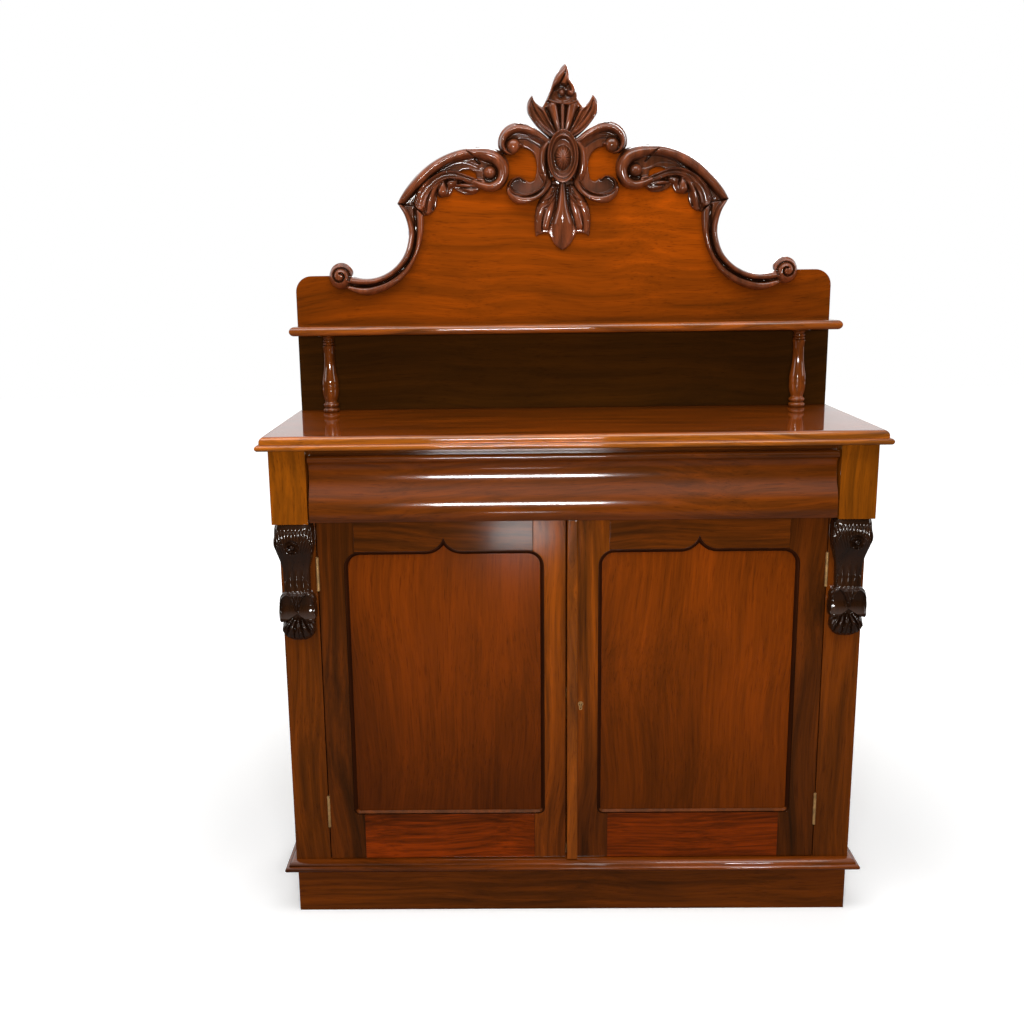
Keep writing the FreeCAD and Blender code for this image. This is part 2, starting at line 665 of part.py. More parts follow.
def strike():
    """The mortise in the left door's edge that takes the lock's bolt."""
    play = D.latch_play
    return board("strike_mortise", (-D.door_left_inner - D.strike_depth, -D.door_left_inner),
                 (D.latch_front - play, D.latch_front + D.latch_width + play),
                 (D.latch_middle - D.latch_height / 2 - play, D.latch_middle + D.latch_height / 2 + play))


def lock_and_astragal():
    edge = D.door_right_inner
    strip = board("astragal_strip", (edge, edge + D.astragal_width),
                  (D.case_front - D.astragal_depth, D.case_front), (D.door_bottom, D.door_top))
    rounded = doc.addObject("Part::Fillet", "astragal_rounded")
    rounded.Base = strip
    doc.recompute()
    corners = [number for number, edge_ in enumerate(strip.Shape.Edges, start=1)
               if abs(edge_.BoundBox.YMax - strip.Shape.BoundBox.YMin) < 0.1 and edge_.BoundBox.ZLength > 1]
    radius = D.astragal_round.number
    rounded.Edges = [(number, radius, radius) for number in corners]
    piece(rounded, "door_right_astragal")

    play = D.latch_play
    low = D.latch_middle - D.latch_height / 2
    passage = board("latch_passage", (edge, edge + D.latch_length + D.latch_run_out),
                    (D.latch_front - play, D.latch_front + D.latch_width + play),
                    (low - play, low + D.latch_height + play))
    piece(cut("lock_case", lock_box("lock_body"), passage), "door_right_lock")
    start = edge + D.latch_setback
    piece(board("latch", (start, start + D.latch_length), (D.latch_front, D.latch_front + D.latch_width),
                (low, low + D.latch_height)), "lock_bolt")
    ring = [keyhole_outline(Size(0)), keyhole_outline(D.thread_thick)]
    thread = padded("key_thread", "XZ_Plane", ring, D.case_front + D.key_depth, D.key_depth)
    piece(at_keyhole(thread), "door_right_escutcheon")


def rod_with_knob(name, start, knob_height):
    bar = rod(name + "_bar", (D.rod_across, D.rod_middle, start), D.rod_radius, D.rod_length)
    knob = rod(name + "_knob", (D.rod_across, D.rod_middle, knob_height), D.rod_knob, D.rod_knob_length, "y")
    return piece(fuse(name + "_whole", bar, knob), name)


def keeper(name, bottom):
    """A block on the door's back that a bolt slides through."""
    block = board(name + "_block", (D.rod_across - D.keeper_half, D.rod_across + D.keeper_half),
                  (CASE_BACK, CASE_BACK + D.keeper_thick), (bottom, bottom + D.keeper_height))
    bore = rod(name + "_bore", (D.rod_across, D.rod_middle, bottom), D.keeper_bore, D.keeper_height)
    return cut(name, block, bore)


def door_bolts():
    top_start = D.door_top - D.rod_setback - D.rod_length
    top_end = top_start + D.rod_length
    rod_with_knob("door_bolt_top", top_start, top_start + D.knob_from_end)
    bottom_end = D.bottom_rod + D.rod_length
    rod_with_knob("door_bolt_bottom", D.bottom_rod, bottom_end - D.knob_from_end)
    keepers = []
    for step in (0, 1):
        away = D.knob_from_end + D.keeper_height * 2 * step
        keepers.append(keeper(f"upper_keeper_{step}", top_end - away - D.keeper_height))
        keepers.append(keeper(f"lower_keeper_{step}", D.bottom_rod + away))
    piece(group("keepers", *keepers), "door_left_keepers")


KNUCKLES = 3


def half_hinge(name, side, middle, on_case):
    """One leaf and its knuckles: the outer two and the pin on the carcase, the middle one on the door."""
    gap = D.hinge_half - D.door_outer
    near = D.hinge_half + gap if on_case else D.hinge_half - gap - D.leaf_thick
    x = span(side, near, near + D.leaf_thick)
    bottom = middle - D.hinge_length / 2
    root = D.hinge_front + D.leaf_root
    shapes = [board(name + "_leaf", x, (root, D.hinge_front + D.leaf_depth),
                    (bottom, bottom + D.hinge_length))]
    pitch = (D.hinge_length + D.knuckle_gap) / KNUCKLES
    for number in range(0 if on_case else 1, KNUCKLES, 2):
        start = bottom + pitch * number
        length = pitch - D.knuckle_gap
        shapes.append(rod(name + "_knuckle", (D.hinge_half * side, D.hinge_front, start),
                          D.knuckle_radius, length))
        shapes.append(board(name + "_root", x, (D.hinge_front, root), (start, start + length)))
    centre = (D.hinge_half * side, D.hinge_front, bottom)
    if on_case:
        return fuse(name, *shapes, rod(name + "_pin", centre, D.pin_radius, D.hinge_length))
    return cut(name, fuse(name + "_solid", *shapes), rod(name + "_bore", centre, D.pin_bore, D.hinge_length))


def hinges():
    for side in (-1, 1):
        halves = [half_hinge(f"door_{hand(side)}_half", side, middle, False) for middle in HINGE_PLACES]
        piece(group("door_halves", *halves), f"door_{hand(side)}_hinges")
    case_halves = [half_hinge("case_half_hinge", side, middle, True)
                   for side in (-1, 1) for middle in HINGE_PLACES]
    piece(group("case_halves", *case_halves), "case_hinges")


# ---------------------------------------------------------------- shaped back, shelf and columns

# Edge of the shaped back from the round shoulder to the middle of the crest: sweep, arch, notch, crest.
BACKBOARD_EDGE = [
    (440, 1222, None), (420, 1214, None), (397, 1212, None), (325, 1358, -88.3), (167, 1463, 185.9),
    (125, 1455, 138), (122, 1488, None), (91, 1507, 38), (28, 1477, 112), (20, 1545, None),
]


def backboard_outline():
    """Right half from the bottom middle: square side, round shoulder, then the shaped edge."""
    shoulder = D.back_board_side + D.back_board_corner
    return mirrored([
        (Size(0), D.top_height, None), (D.back_board_half, D.top_height, None),
        (D.back_board_half, D.back_board_side, None),
        (D.back_board_half - D.back_board_corner, shoulder, D.back_board_corner), *BACKBOARD_EDGE,
    ])


# Profile of a column from its foot, as (radius, height).
COLUMN = [
    (0, 0), (15, 0), (16.3, 9), (14.5, 17), (11.8, 21), (15.4, 46), (15.2, 68), (11.5, 107), (12.8, 128),
    (14.6, 134), (13.6, 145), (21.8, 153), (21.8, 158.5), (0, 158.5),
]


def upper_part():
    piece(fretted("shaped_board", backboard_outline(), D.back_board_rear,
                  D.back_board_rear - D.back_board_front), "backboard")
    round_edge = D.display_thick / 2
    under, middle = D.display_under, D.display_under + round_edge
    top = D.display_under + D.display_thick
    front = [(D.back_board_front, top, None), (D.back_board_front, under, None),
             (D.display_front + round_edge, under, None), (D.display_front, middle, -round_edge),
             (D.display_front + round_edge, top, -round_edge)]
    run = padded("shelf_run", "YZ_Plane", [front], -D.shelf_half, D.shelf_half * 2)
    ends = mirrored([(Size(0), under, None), (D.shelf_half - round_edge, under, None),
                     (D.shelf_half, middle, round_edge), (D.shelf_half - round_edge, top, round_edge)])
    across = fretted("shelf_across", ends, D.back_board_front, D.back_board_front - D.display_front)
    piece(common("shelf_whole", run, across), "display_shelf")
    for side in (-1, 1):
        place = (D.column_half * side, D.column_middle, D.top_height)
        profile = [(radius, height, None) for radius, height in COLUMN]
        piece(turned("column_turning_" + hand(side), "XZ_Plane", profile, place), "column_" + hand(side))


# ---------------------------------------------------------------- applied carving, right-hand outlines

# The hollow sweep at the side of the back: the whole width, then the raised bead along its outer edge.
SWEEP_GROUND = [
    (330, 1361, None), (397, 1215.4, 88.3), (426, 1221, 101), (447, 1225, None), (453, 1190, None),
    (397, 1182, -103), (311, 1228, -127), (278, 1338, -182), (296, 1356, None),
]
SWEEP_BEAD = [
    (330, 1361, -42.8), (397, 1215.4, 88.3), (426, 1221, 101), (440, 1222, None), (440, 1205, None),
    (416, 1204, None), (359, 1211, -122), (307, 1257, -121), (301, 1330, -95),
]
# The shoulder: leafy ground, the raised arch that rolls into a volute, and the stem under it.
SHOULDER_GROUND = [
    (330, 1361, None), (167, 1467, 185.9), (123, 1460, 138), (110, 1401, 49), (164, 1388, 37.3),
    (176, 1378, 20), (218, 1392, 40), (237, 1373, 17.5), (252, 1378, 11.5), (270, 1338, 31.5),
    (278, 1338, None), (296, 1356, None),
]
SHOULDER_ARCH = [
    (330, 1361, None), (167, 1467, 185.9), (123, 1460, 138), (110, 1401, 49), (164, 1388, 37.3),
    (158, 1405, None), (127, 1413, -19), (145, 1438, -19), (162, 1427, -19), (165, 1436, None),
    (190, 1449, -23.5), (222, 1443, -68.4), (317, 1362, -229),
]
SHOULDER_STEM = [
    (297, 1356, None), (250, 1415, 66), (160, 1397, 97), (163, 1389, None), (246, 1404, -94),
    (285, 1350, -56),
]
# The open scroll beside the boss: a C that rolls out at the top and at the bottom.
SCROLL_GROUND = [
    (20, 1402, None), (20, 1482, None), (29, 1482, None), (91, 1512, -111.9), (127, 1467, -38.6),
    (108, 1451, -25.2), (84, 1465, -23.8), (57, 1452, 30), (53, 1412, 50), (66, 1399, 12),
    (84, 1411, None), (110, 1395, -26), (75, 1357, -30), (21, 1394, -76.4),
]
SCROLL_BAND = [
    (29, 1470, None), (29, 1482, None), (91, 1512, -111.9), (127, 1467, -38.6), (108, 1451, -25.2),
    (104, 1461, None), (114, 1474, 14), (84, 1491, 26), (37, 1453, 54.9), (33, 1460, None),
]
LEAF = [
    (27, 1483, None), (68, 1528, 137), (59, 1563, 31.5), (41, 1539, -44), (13, 1591, -120),
    (6, 1621, 30), (-21, 1581, 79), (-39, 1541, -182), (-59, 1563, -28.3), (-68, 1528, 31.5),
    (-27, 1483, 137),
]
DROP = [
    (0, 1267, None), (20, 1286, 38), (28, 1300, None), (53, 1294, -31), (53, 1350, 131),
    (27, 1392, 111), (24, 1402, None),
]


def carved(name, side, *layers):
    """Fretted layers of growing depth, each on the board's front face, joined with any further solids."""
    made = []
    for number, layer in enumerate(layers):
        if isinstance(layer, tuple):
            outline, depth = layer
            layer = fretted(f"{name}_layer_{number}", sided(outline, side), D.back_board_front, depth)
        made.append(layer)
    return fuse(name + "_carving", *made)


def carving():
    face = D.back_board_front
    oval = oval_disc("boss_oval", D.boss_half_width, D.boss_half_height, face, D.boss_depth)
    scrolls = []
    for side in (-1, 1):
        ball = button("ball_" + hand(side), (D.ball_middle * side, face, D.ball_height), D.ball_radius,
                      D.ball_depth, D.ball_round)
        sweep = carved("scroll_moulding_" + hand(side), side, (SWEEP_GROUND, D.cove_depth),
                       (SWEEP_BEAD, D.bead_depth), ball)
        eye = button("eye_" + hand(side), (D.eye_middle * side, face, D.eye_height), D.eye_radius,
                     D.eye_depth, D.eye_round)
        shoulder = carved("shoulder_scroll_" + hand(side), side, (SHOULDER_GROUND, D.ground_depth),
                          (SHOULDER_STEM, D.stem_depth), (SHOULDER_ARCH, D.bead_depth), eye)
        piece(shoulder, "shoulder_scroll_" + hand(side))
        piece(cut("sweep_seated", sweep, shoulder), "scroll_moulding_" + hand(side))
        upper_eye = button("upper_eye_" + hand(side), (D.upper_eye_middle * side, face, D.upper_eye_height),
                           D.upper_eye_radius, D.stem_depth, D.upper_eye_round)
        lower_eye = button("lower_eye_" + hand(side), (D.lower_eye_middle * side, face, D.lower_eye_height),
                           D.lower_eye_radius, D.bead_depth, D.lower_eye_round)
        scroll = carved("crest_scroll_" + hand(side), side, (SCROLL_GROUND, D.ground_depth),
                        (SCROLL_BAND, D.bead_depth), upper_eye, lower_eye)
        scrolls.append(cut("scroll_seated", scroll, oval, shoulder))
        piece(scrolls[-1], "crest_scroll_" + hand(side))

    dish = oval_disc("boss_dish", D.dish_half_width, D.dish_half_height,
                     face - D.boss_depth + D.dish_depth, D.dish_depth)
    rosette = button("boss_rosette", (Size(0), face - D.boss_depth + D.dish_depth, D.boss_height),
                     D.rosette_radius, D.dish_depth, D.dish_depth / 2)
    piece(fuse("boss_whole", cut("boss_dished", oval, dish), rosette), "crest_boss")

    knob = button("finial_roll", (Size(0), face - D.ground_depth, D.finial_knob_height), D.finial_knob,
                  D.finial_knob_depth, D.finial_knob / 2)
    leaf = fretted("leaf_blank", LEAF, face, D.leaf_depth_back)
    piece(cut("leaf_seated", fuse("leaf_whole", leaf, knob), oval, *scrolls), "crest_leaf")
    drop = fretted("drop_blank", mirrored(DROP), face, D.leaf_depth_back)
    piece(cut("drop_seated", drop, oval, *scrolls), "crest_drop")


def oval_disc(name, half_width, half_height, start, depth):
    """An oval block, taller than wide, from start forwards."""
    curve = doc.addObject("Part::Ellipse", name + "_curve")
    curve.Placement.Rotation = FreeCAD.Rotation(Vector(0, 0, 1), Vector(1, 0, 0), Vector(0, 1, 0), "XYZ")
    bind(curve, "MajorRadius", half_height)
    bind(curve, "MinorRadius", half_width)
    bind(curve, "Placement.Base.y", start)
    bind(curve, "Placement.Base.z", D.boss_height)
    made = doc.addObject("Part::Extrusion", name)
    made.Base = curve
    made.DirMode = "Custom"
    made.Dir = Vector(0, -1, 0)
    bind(made, "LengthFwd", depth)
    made.Solid = True
    return made


# ---------------------------------------------------------------- build, check and write

def check_document():
    for made in doc.Objects:
        if any(word in made.State for word in ("Invalid", "Error")):
            raise SystemExit(f"{made.Label} failed: {made.State}")
    for made in PIECES:
        if made.Shape.isNull() or not made.Shape.isValid() or not made.Shape.Solids:
            raise SystemExit(f"{made.Label} has no valid solid")


def write_parts():
    os.makedirs("parts", exist_ok=True)
    for made in PIECES:
        made.Shape.exportStep(f"parts/{made.Label}.step")


plinth()
carcase()
table_top()
corbels()
drawer()
door(-1, D.door_left_inner)
door(1, D.door_right_inner)
lock_and_astragal()
door_bolts()
hinges()
upper_part()
carving()
doc.recompute()
check_document()
write_parts()
print(len(PIECES), "sub-parts written")
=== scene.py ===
"""Looks of a Victorian mahogany chiffonier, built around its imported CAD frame.

Tables are in millimetres in the frame's axes: X to the viewer's right, Y to the rear, Z up.
Meshes, lamps and the camera are in metres. Where a piece has a twin on the other side, the table
gives the right one, and side is 1 for the right and -1 for the left.
"""

import json
import math
from contextlib import contextmanager

import bmesh
import bpy
import numpy as np
from mathutils import Matrix, Vector


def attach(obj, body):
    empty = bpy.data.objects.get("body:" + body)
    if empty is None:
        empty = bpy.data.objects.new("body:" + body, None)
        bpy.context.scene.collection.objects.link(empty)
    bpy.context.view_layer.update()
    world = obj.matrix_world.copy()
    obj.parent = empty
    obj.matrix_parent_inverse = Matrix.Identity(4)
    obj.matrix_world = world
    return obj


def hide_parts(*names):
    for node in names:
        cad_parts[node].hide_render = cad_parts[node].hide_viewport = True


MM = 0.001
BOARD_FRONT = 183        # Y of the backboard's front face, which the crest lies on
STILE_FRONT = -153.5     # Y of the corner stiles' front face, which the corbels lie on
CORBEL_MIDDLE = 504.5    # X of the middle of a corbel
COLUMN_X, COLUMN_Y = 476, 153

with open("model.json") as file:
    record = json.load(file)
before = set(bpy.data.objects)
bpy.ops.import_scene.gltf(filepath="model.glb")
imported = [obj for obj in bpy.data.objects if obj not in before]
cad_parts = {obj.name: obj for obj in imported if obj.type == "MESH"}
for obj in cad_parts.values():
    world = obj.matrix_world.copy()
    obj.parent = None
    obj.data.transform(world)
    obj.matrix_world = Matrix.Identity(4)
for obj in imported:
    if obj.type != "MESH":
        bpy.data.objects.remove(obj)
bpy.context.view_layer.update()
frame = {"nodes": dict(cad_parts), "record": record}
BODY_OF = {node: body for body, nodes in frame["record"]["behaviour"]["bodies"].items()
           for node in nodes}


def hand_of(side):
    return "right" if side > 0 else "left"


# ------------------------------------------------------------------ materials

def srgb(red, green, blue):
    """A display colour, given from 0 to 255, as the linear colour that a shader takes."""
    linear = [(c / 255 / 12.92) if c <= 10 else ((c / 255 + 0.055) / 1.055) ** 2.4
              for c in (red, green, blue)]
    return (*linear, 1.0)


class Nodes:
    """Adds nodes to a material or to the world, and links them."""

    def __init__(self, owner):
        owner.use_nodes = True
        self.owner = owner
        self.tree = owner.node_tree
        self.tree.nodes.clear()

    def add(self, kind, inputs=None, **settings):
        """A new node, each of whose inputs gets a value or another node's output."""
        node = self.tree.nodes.new("ShaderNode" + kind)
        for key, value in settings.items():
            setattr(node, key, value)
        for key, value in (inputs or {}).items():
            if isinstance(value, bpy.types.NodeSocket):
                self.tree.links.new(value, node.inputs[key])
            else:
                node.inputs[key].default_value = value
        return node

    def maths(self, operation, *values):
        return self.add("Math", dict(enumerate(values)), operation=operation).outputs[0]

    def noise(self, vector, scale, detail, output="Fac", **inputs):
        made = {"Vector": vector, "Scale": scale, "Detail": detail, **inputs}
        return self.add("TexNoise", made).outputs[output]

    def level(self, factor, low, high, out_low=0.0, out_high=1.0):
        """A factor carried from one range to another, and held at its ends."""
        node = self.add("MapRange", {0: factor, 1: low, 2: high, 3: out_low, 4: out_high})
        return node.outputs[0]

    def ramp(self, factor, stops):
        """The colours of the stops, each a place and a colour, blended by a factor."""
        node = self.add("ValToRGB", {"Fac": factor})
        ramp = node.color_ramp
        for place, colour in stops[2:]:
            ramp.elements.new(place)
        for element, (place, colour) in zip(ramp.elements, stops):
            element.position = place
            element.color = colour
        return node.outputs["Color"]

    def mix(self, kind, factor, first, second):
        """Two colours mixed by a factor."""
        node = self.add("Mix", {0: factor, 6: first, 7: second}, data_type="RGBA", blend_type=kind)
        return node.outputs[2]


SEED_STEP = (1.7, 2.3, 0.9)         # metres by which each seed moves the pattern
WANDER_SCALE, WANDER = 2.2, 8       # of the noise that bends the grain
STREAK_LENGTH = 34                  # a streak's length over its width
PORE_SCALE = (620.0, 22.0)          # across the grain and along it
CLOUD_SCALE = (9.0, 1.8)
WAVE_SCALE = 7.0                    # of the unevenness in the polish
TONE_STOPS = (0.36, 0.5, 0.63)      # where the dark, middle and light tones stand
PITTED = (0.56, 0.74)               # where the pore noise turns from smooth to pitted
PORE_TONE = (120, 84, 66)
NOOK = (0.35, 0.9)                  # how open a place is, from shaded and grimy to open
# the near-black tone that nooks are darkened towards: painted shade, with some grime
SHADE_AND_GRIME_TONE = (16, 6, 2)
UNEVEN = (0.3, 0.7)                 # where the cloud noise turns from glossier to duller
BARE_SHINE, BARE_TINT = 0.15, (1.0, 0.4, 0.12, 1.0)     # of the wood under its polish
REAR = (0.2, 0.6)                   # the rearward part of a face's direction, from front to rear


def along(grain, fine, coarse):
    """A texture scale that is coarse along the grain and fine across it."""
    return tuple(coarse if axis == grain else fine for axis in "xyz")


def about(red, green, blue, spread=0.42):
    """Dark, middle and light streak colours about a mean tone."""
    return tuple(tuple(c * (1 + spread * step) for c in (red, green, blue))
                 for step in (-1, 0, 0.9))


def wood(name, grain, tones, seed, figure=70.0, bend=0.012, gloss=0.5, coat=0.5, polish=0.12,
         shade_and_grime=0.0, reach=0.02, pores=0.5, cloudy=0.7, fades=()):
    """Polished wood: drawn-out figure, fine pores, broad clouds of tone and an uneven polish.

    gloss is the bare wood's roughness, coat the polish's weight and polish its roughness. Nooks of
    the size of reach are darkened: painted shade, with some grime. Each fade (measure, low, high,
    tint) multiplies the colour below a place; some fades are painted shade. Its measure is z, the
    height in metres, or up, the upward part of the face's direction. Faces to the rear have no
    polish and no fades.
    """
    made = Nodes(bpy.data.materials.new(name))
    place = made.add("TexCoord").outputs["Object"]
    moved = tuple(seed * step for step in SEED_STEP)
    shifted = made.add("Mapping", {"Vector": place, "Location": moved}).outputs["Vector"]
    wander = made.noise(shifted, WANDER_SCALE, 1.0, output="Color")
    bent = made.add("VectorMath", {0: wander, 1: (0.5, 0.5, 0.5)}, operation="SUBTRACT").outputs[0]
    bent = made.add("VectorMath", {0: bent, 3: bend * WANDER}, operation="SCALE").outputs[0]
    bent = made.add("VectorMath", {0: shifted, 1: bent}, operation="ADD").outputs[0]

    def stretched(fine, coarse):
        scale = along(grain, fine, coarse)
        return made.add("Mapping", {"Vector": bent, "Scale": scale}).outputs["Vector"]

    streaks = made.noise(stretched(figure, figure / STREAK_LENGTH), 1.0, 6.0, Roughness=0.6,
                         Distortion=0.25)
    pore = made.noise(stretched(*PORE_SCALE), 1.0, 2.0)
    cloud = made.noise(stretched(*CLOUD_SCALE), 1.0, 2.5)

    both = made.level(made.maths("MULTIPLY_ADD", cloud, cloudy, streaks), 0.0, 1.0 + cloudy)
    colour = made.ramp(both, [(stop, srgb(*tone)) for stop, tone in zip(TONE_STOPS, tones)])
    pitted = made.level(pore, *PITTED, 0.0, pores)
    colour = made.mix("MULTIPLY", pitted, colour, srgb(*PORE_TONE))
    facing = made.add("SeparateXYZ", {0: made.add("TexCoord").outputs["Normal"]}).outputs
    front = made.level(facing["Y"], *REAR, 1.0, 0.0)
    measures = {"z": made.add("SeparateXYZ", {0: place}).outputs["Z"], "up": facing["Z"]}
    for measure, low, high, tint in fades:
        faded = made.maths("MULTIPLY", made.level(measures[measure], low, high, 1.0, 0.0), front)
        colour = made.mix("MULTIPLY", faded, colour, (*tint, 1.0))
    # painted shade in nooks, from ambient occlusion, with some grime
    if shade_and_grime:
        nook = made.add("AmbientOcclusion", {"Distance": reach}, samples=8).outputs["AO"]
        colour = made.mix("MIX", made.level(nook, *NOOK, shade_and_grime, 0.0), colour, srgb(*SHADE_AND_GRIME_TONE))

    height = made.maths("MULTIPLY_ADD", made.noise(shifted, WAVE_SCALE, 2.0), 1.0,
                        made.maths("MULTIPLY", pore, 0.03))
    bump = made.add("Bump", {"Height": height, "Strength": 0.3, "Distance": 1 * MM}).outputs[0]
    shader = made.add("BsdfPrincipled", {
        "Base Color": colour, "Roughness": made.level(cloud, *UNEVEN, gloss, gloss + 0.1),
        "Normal": bump, "Specular IOR Level": BARE_SHINE, "Specular Tint": BARE_TINT,
        "Coat Weight": made.maths("MULTIPLY", front, coat), "Coat Roughness": polish,
        "Coat Normal": bump})
    made.add("OutputMaterial", {"Surface": shader.outputs[0]})
    return made.owner


def brass(name, tone):
    """Old rubbed brass with dull patches."""
    made = Nodes(bpy.data.materials.new(name))
    patches = made.noise(made.add("TexCoord").outputs["Object"], 91.0, 5.0)
    dull = srgb(*[c * 0.75 for c in tone])
    bump = made.add("Bump", {"Height": patches, "Strength": 0.2, "Distance": 0.4 * MM}).outputs[0]
    shader = made.add("BsdfPrincipled", {
        "Base Color": made.ramp(patches, [(0.35, dull), (0.6, srgb(*tone))]), "Metallic": 0.6,
        "Roughness": made.level(patches, 0.3, 0.7, 0.5, 0.25), "Normal": bump})
    made.add("OutputMaterial", {"Surface": shader.outputs[0]})
    return made.owner


PINE = ((134, 98, 58), (170, 132, 84), (194, 158, 108))
WOODS = {
    "stile": wood("stile_wood", "z", about(98, 45, 5, 0.3), 1.0, figure=90, coat=0.35, shade_and_grime=0.3),
    "hinge_stile": wood(
        "hinge_stile_wood", "z", about(74, 33, 4, 0.45), 1.4, figure=80, coat=0.35, shade_and_grime=0.3),
    "meeting_stile": wood(
        "meeting_stile_wood", "z", about(122, 58, 6, 0.42), 1.9, figure=80, coat=0.35, shade_and_grime=0.3,
        fades=(("z", 0.2, 0.7, (0.55, 0.52, 1.0)),)),
    "top_rail": wood(
        "top_rail_wood", "x", about(86, 39, 4, 0.42), 2.2, figure=110, coat=0.45, shade_and_grime=0.3),
    "bottom_rail": wood(
        "bottom_rail_wood", "x", about(102, 37, 2, 0.45), 2.7, figure=150, coat=0.35, shade_and_grime=0.3),
    "case_x": wood("frame_wood_x", "x", about(96, 44, 5, 0.3), 3.1, figure=90, coat=0.4, shade_and_grime=0.3),
    "base_rim": wood(
        "base_rim_wood", "x", about(104, 47, 6, 0.3), 3.3, figure=90, coat=1.0, polish=0.1),
    "side_z": wood("side_wood", "z", about(100, 46, 6, 0.3), 3.6, figure=90),
    # painted shade: the moulding's faces that do not face up are darker than those that do
    "moulding": wood(
        "moulding_wood", "z", about(84, 38, 6, 0.3), 4.0, coat=0.12, polish=0.3, shade_and_grime=0.6,
        fades=(("up", 0.1, 0.45, (0.22, 0.2, 0.4)),)),
    "panel_left": wood(
        "panel_left_wood", "z", about(112, 47, 3, 0.2), 4.6, figure=150, bend=0.014, coat=0.3,
        polish=0.16, cloudy=1.1, fades=(("z", 0.2, 0.66, (0.55, 0.55, 1.0)),)),
    "panel_right": wood(
        "panel_right_wood", "z", about(122, 52, 3, 0.2), 4.9, figure=150, bend=0.014, coat=0.3,
        polish=0.16, cloudy=1.1, fades=(("z", 0.2, 0.62, (0.64, 0.66, 1.0)),)),
    "drawer": wood(
        "drawer_wood", "x", about(98, 44, 4, 0.28), 5.2, figure=90, coat=1.0, polish=0.1),
    "block": wood("block_wood", "z", about(132, 68, 5, 0.25), 5.8, figure=90, coat=0.4, polish=0.1),
    "astragal": wood(
        "astragal_wood", "z", about(124, 60, 6, 0.3), 5.5, figure=90, coat=0.8, polish=0.1),
    # painted reflection and shade: the top's upper face is darker than its edges
    "top": wood(
        "top_wood", "x", about(156, 84, 18, 0.32), 6.4, figure=110, coat=1.0, polish=0.05,
        fades=(("up", 0.95, 0.8, (0.6, 0.42, 0.22)),)),
    "shelf": wood(
        "shelf_wood", "x", about(138, 70, 18, 0.32), 6.8, figure=110, coat=1.0, polish=0.06),
    # painted shadow: the back is much darker under the shelf; above the shelf it grows darker
    # downwards, partly painted shade and partly the board's tone
    "back": wood(
        "back_wood", "x", about(158, 68, 3, 0.24), 7.4, figure=70, bend=0.016, gloss=0.6, coat=0.0,
        shade_and_grime=0.5, cloudy=1.1,
        fades=(("z", 1.112, 1.125, (0.2, 0.32, 1.0)), ("z", 1.12, 1.36, (0.46, 0.52, 0.8)))),
    # paler and greyer than the other mahogany: partly the carving's own colour, partly painted
    # sheen
    "carved": wood(
        "carved_wood", "z", about(116, 60, 34, 0.3), 8.0, coat=1.0, polish=0.1, shade_and_grime=0.85,
        reach=0.035),
    # a much darker copy of the carved mahogany: painted shade over the corbels
    "corbel": wood(
        "corbel_wood", "z", about(34, 17, 7, 0.35), 8.6, coat=1.0, polish=0.1, shade_and_grime=0.25),
    "turned": wood(
        "turned_wood", "z", about(98, 47, 10, 0.4), 9.0, coat=1.0, polish=0.08, shade_and_grime=0.4),
    "pine_x": wood("pine_x", "x", PINE, 10.0, gloss=0.6, coat=0.0, pores=0.15),
    "pine_y": wood("pine_y", "y", PINE, 12.0, gloss=0.6, coat=0.0, pores=0.15),
    "pine_z": wood("pine_z", "z", PINE, 11.0, gloss=0.6, coat=0.0, pores=0.15),
    "brass": brass("brass", (226, 176, 112)),
}


# ------------------------------------------------------------------ pieces

# Edges that are sharper than these angles in degrees stay sharp.
BOARD_SHARP, CARVED_SHARP, TURNED_SHARP = 30, 48, 40
REPLACED = set()


@contextmanager
def editing(mesh, source=None):
    """A mesh open for editing, which starts from its own faces or from a source's."""
    work = bmesh.new()
    work.from_mesh(source or mesh)
    yield work
    work.to_mesh(mesh)
    work.free()


def link(name, mesh):
    made = bpy.data.objects.new(name, mesh)
    bpy.context.scene.collection.objects.link(made)
    return made


def mesh_of(name, points, faces):
    """A mesh from points in millimetres."""
    mesh = bpy.data.meshes.new(name)
    mesh.from_pydata([tuple(float(c) * MM for c in point) for point in points], [], faces)
    return mesh


def shade(mesh, sharp):
    """Smooth shading that keeps every edge sharper than an angle in degrees."""
    mesh.polygons.foreach_set("use_smooth", [True] * len(mesh.polygons))
    with editing(mesh) as work:
        for edge in work.edges:
            if len(edge.link_faces) == 2:
                edge.smooth = edge.calc_face_angle() < math.radians(sharp)


def dress(made, node, material):
    """Let a piece ride with a CAD node and stand for it, with a material."""
    made.data.materials.clear()
    made.data.materials.append(WOODS[material])
    if node not in REPLACED:
        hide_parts(node)
        REPLACED.add(node)
    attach(made, BODY_OF[node])


def apply_modifiers(made):
    graph = bpy.context.evaluated_depsgraph_get()
    mesh = bpy.data.meshes.new_from_object(made.evaluated_get(graph))
    made.modifiers.clear()
    made.data = mesh


def softened(node, material):
    """The CAD node with its sharp edges rubbed round, as an old polished board has them."""
    mesh = bpy.data.meshes.new(node + "_soft")
    with editing(mesh, frame["nodes"][node].data) as work:
        bmesh.ops.remove_doubles(work, verts=work.verts, dist=0.01 * MM)
        bmesh.ops.dissolve_limit(work, angle_limit=math.radians(0.5), verts=work.verts,
                                 edges=work.edges)
    made = link(node + "_soft", mesh)
    bevel = made.modifiers.new("rubbed", "BEVEL")
    bevel.width = 0.9 * MM
    bevel.segments = 2
    bevel.limit_method = "ANGLE"
    bevel.angle_limit = math.radians(40)
    apply_modifiers(made)
    shade(made.data, BOARD_SHARP)
    flat = made.modifiers.new("flat", "WEIGHTED_NORMAL")
    flat.weight = 100
    flat.keep_sharp = True
    apply_modifiers(made)
    dress(made, node, material)


# ------------------------------------------------------------------ lines and outlines

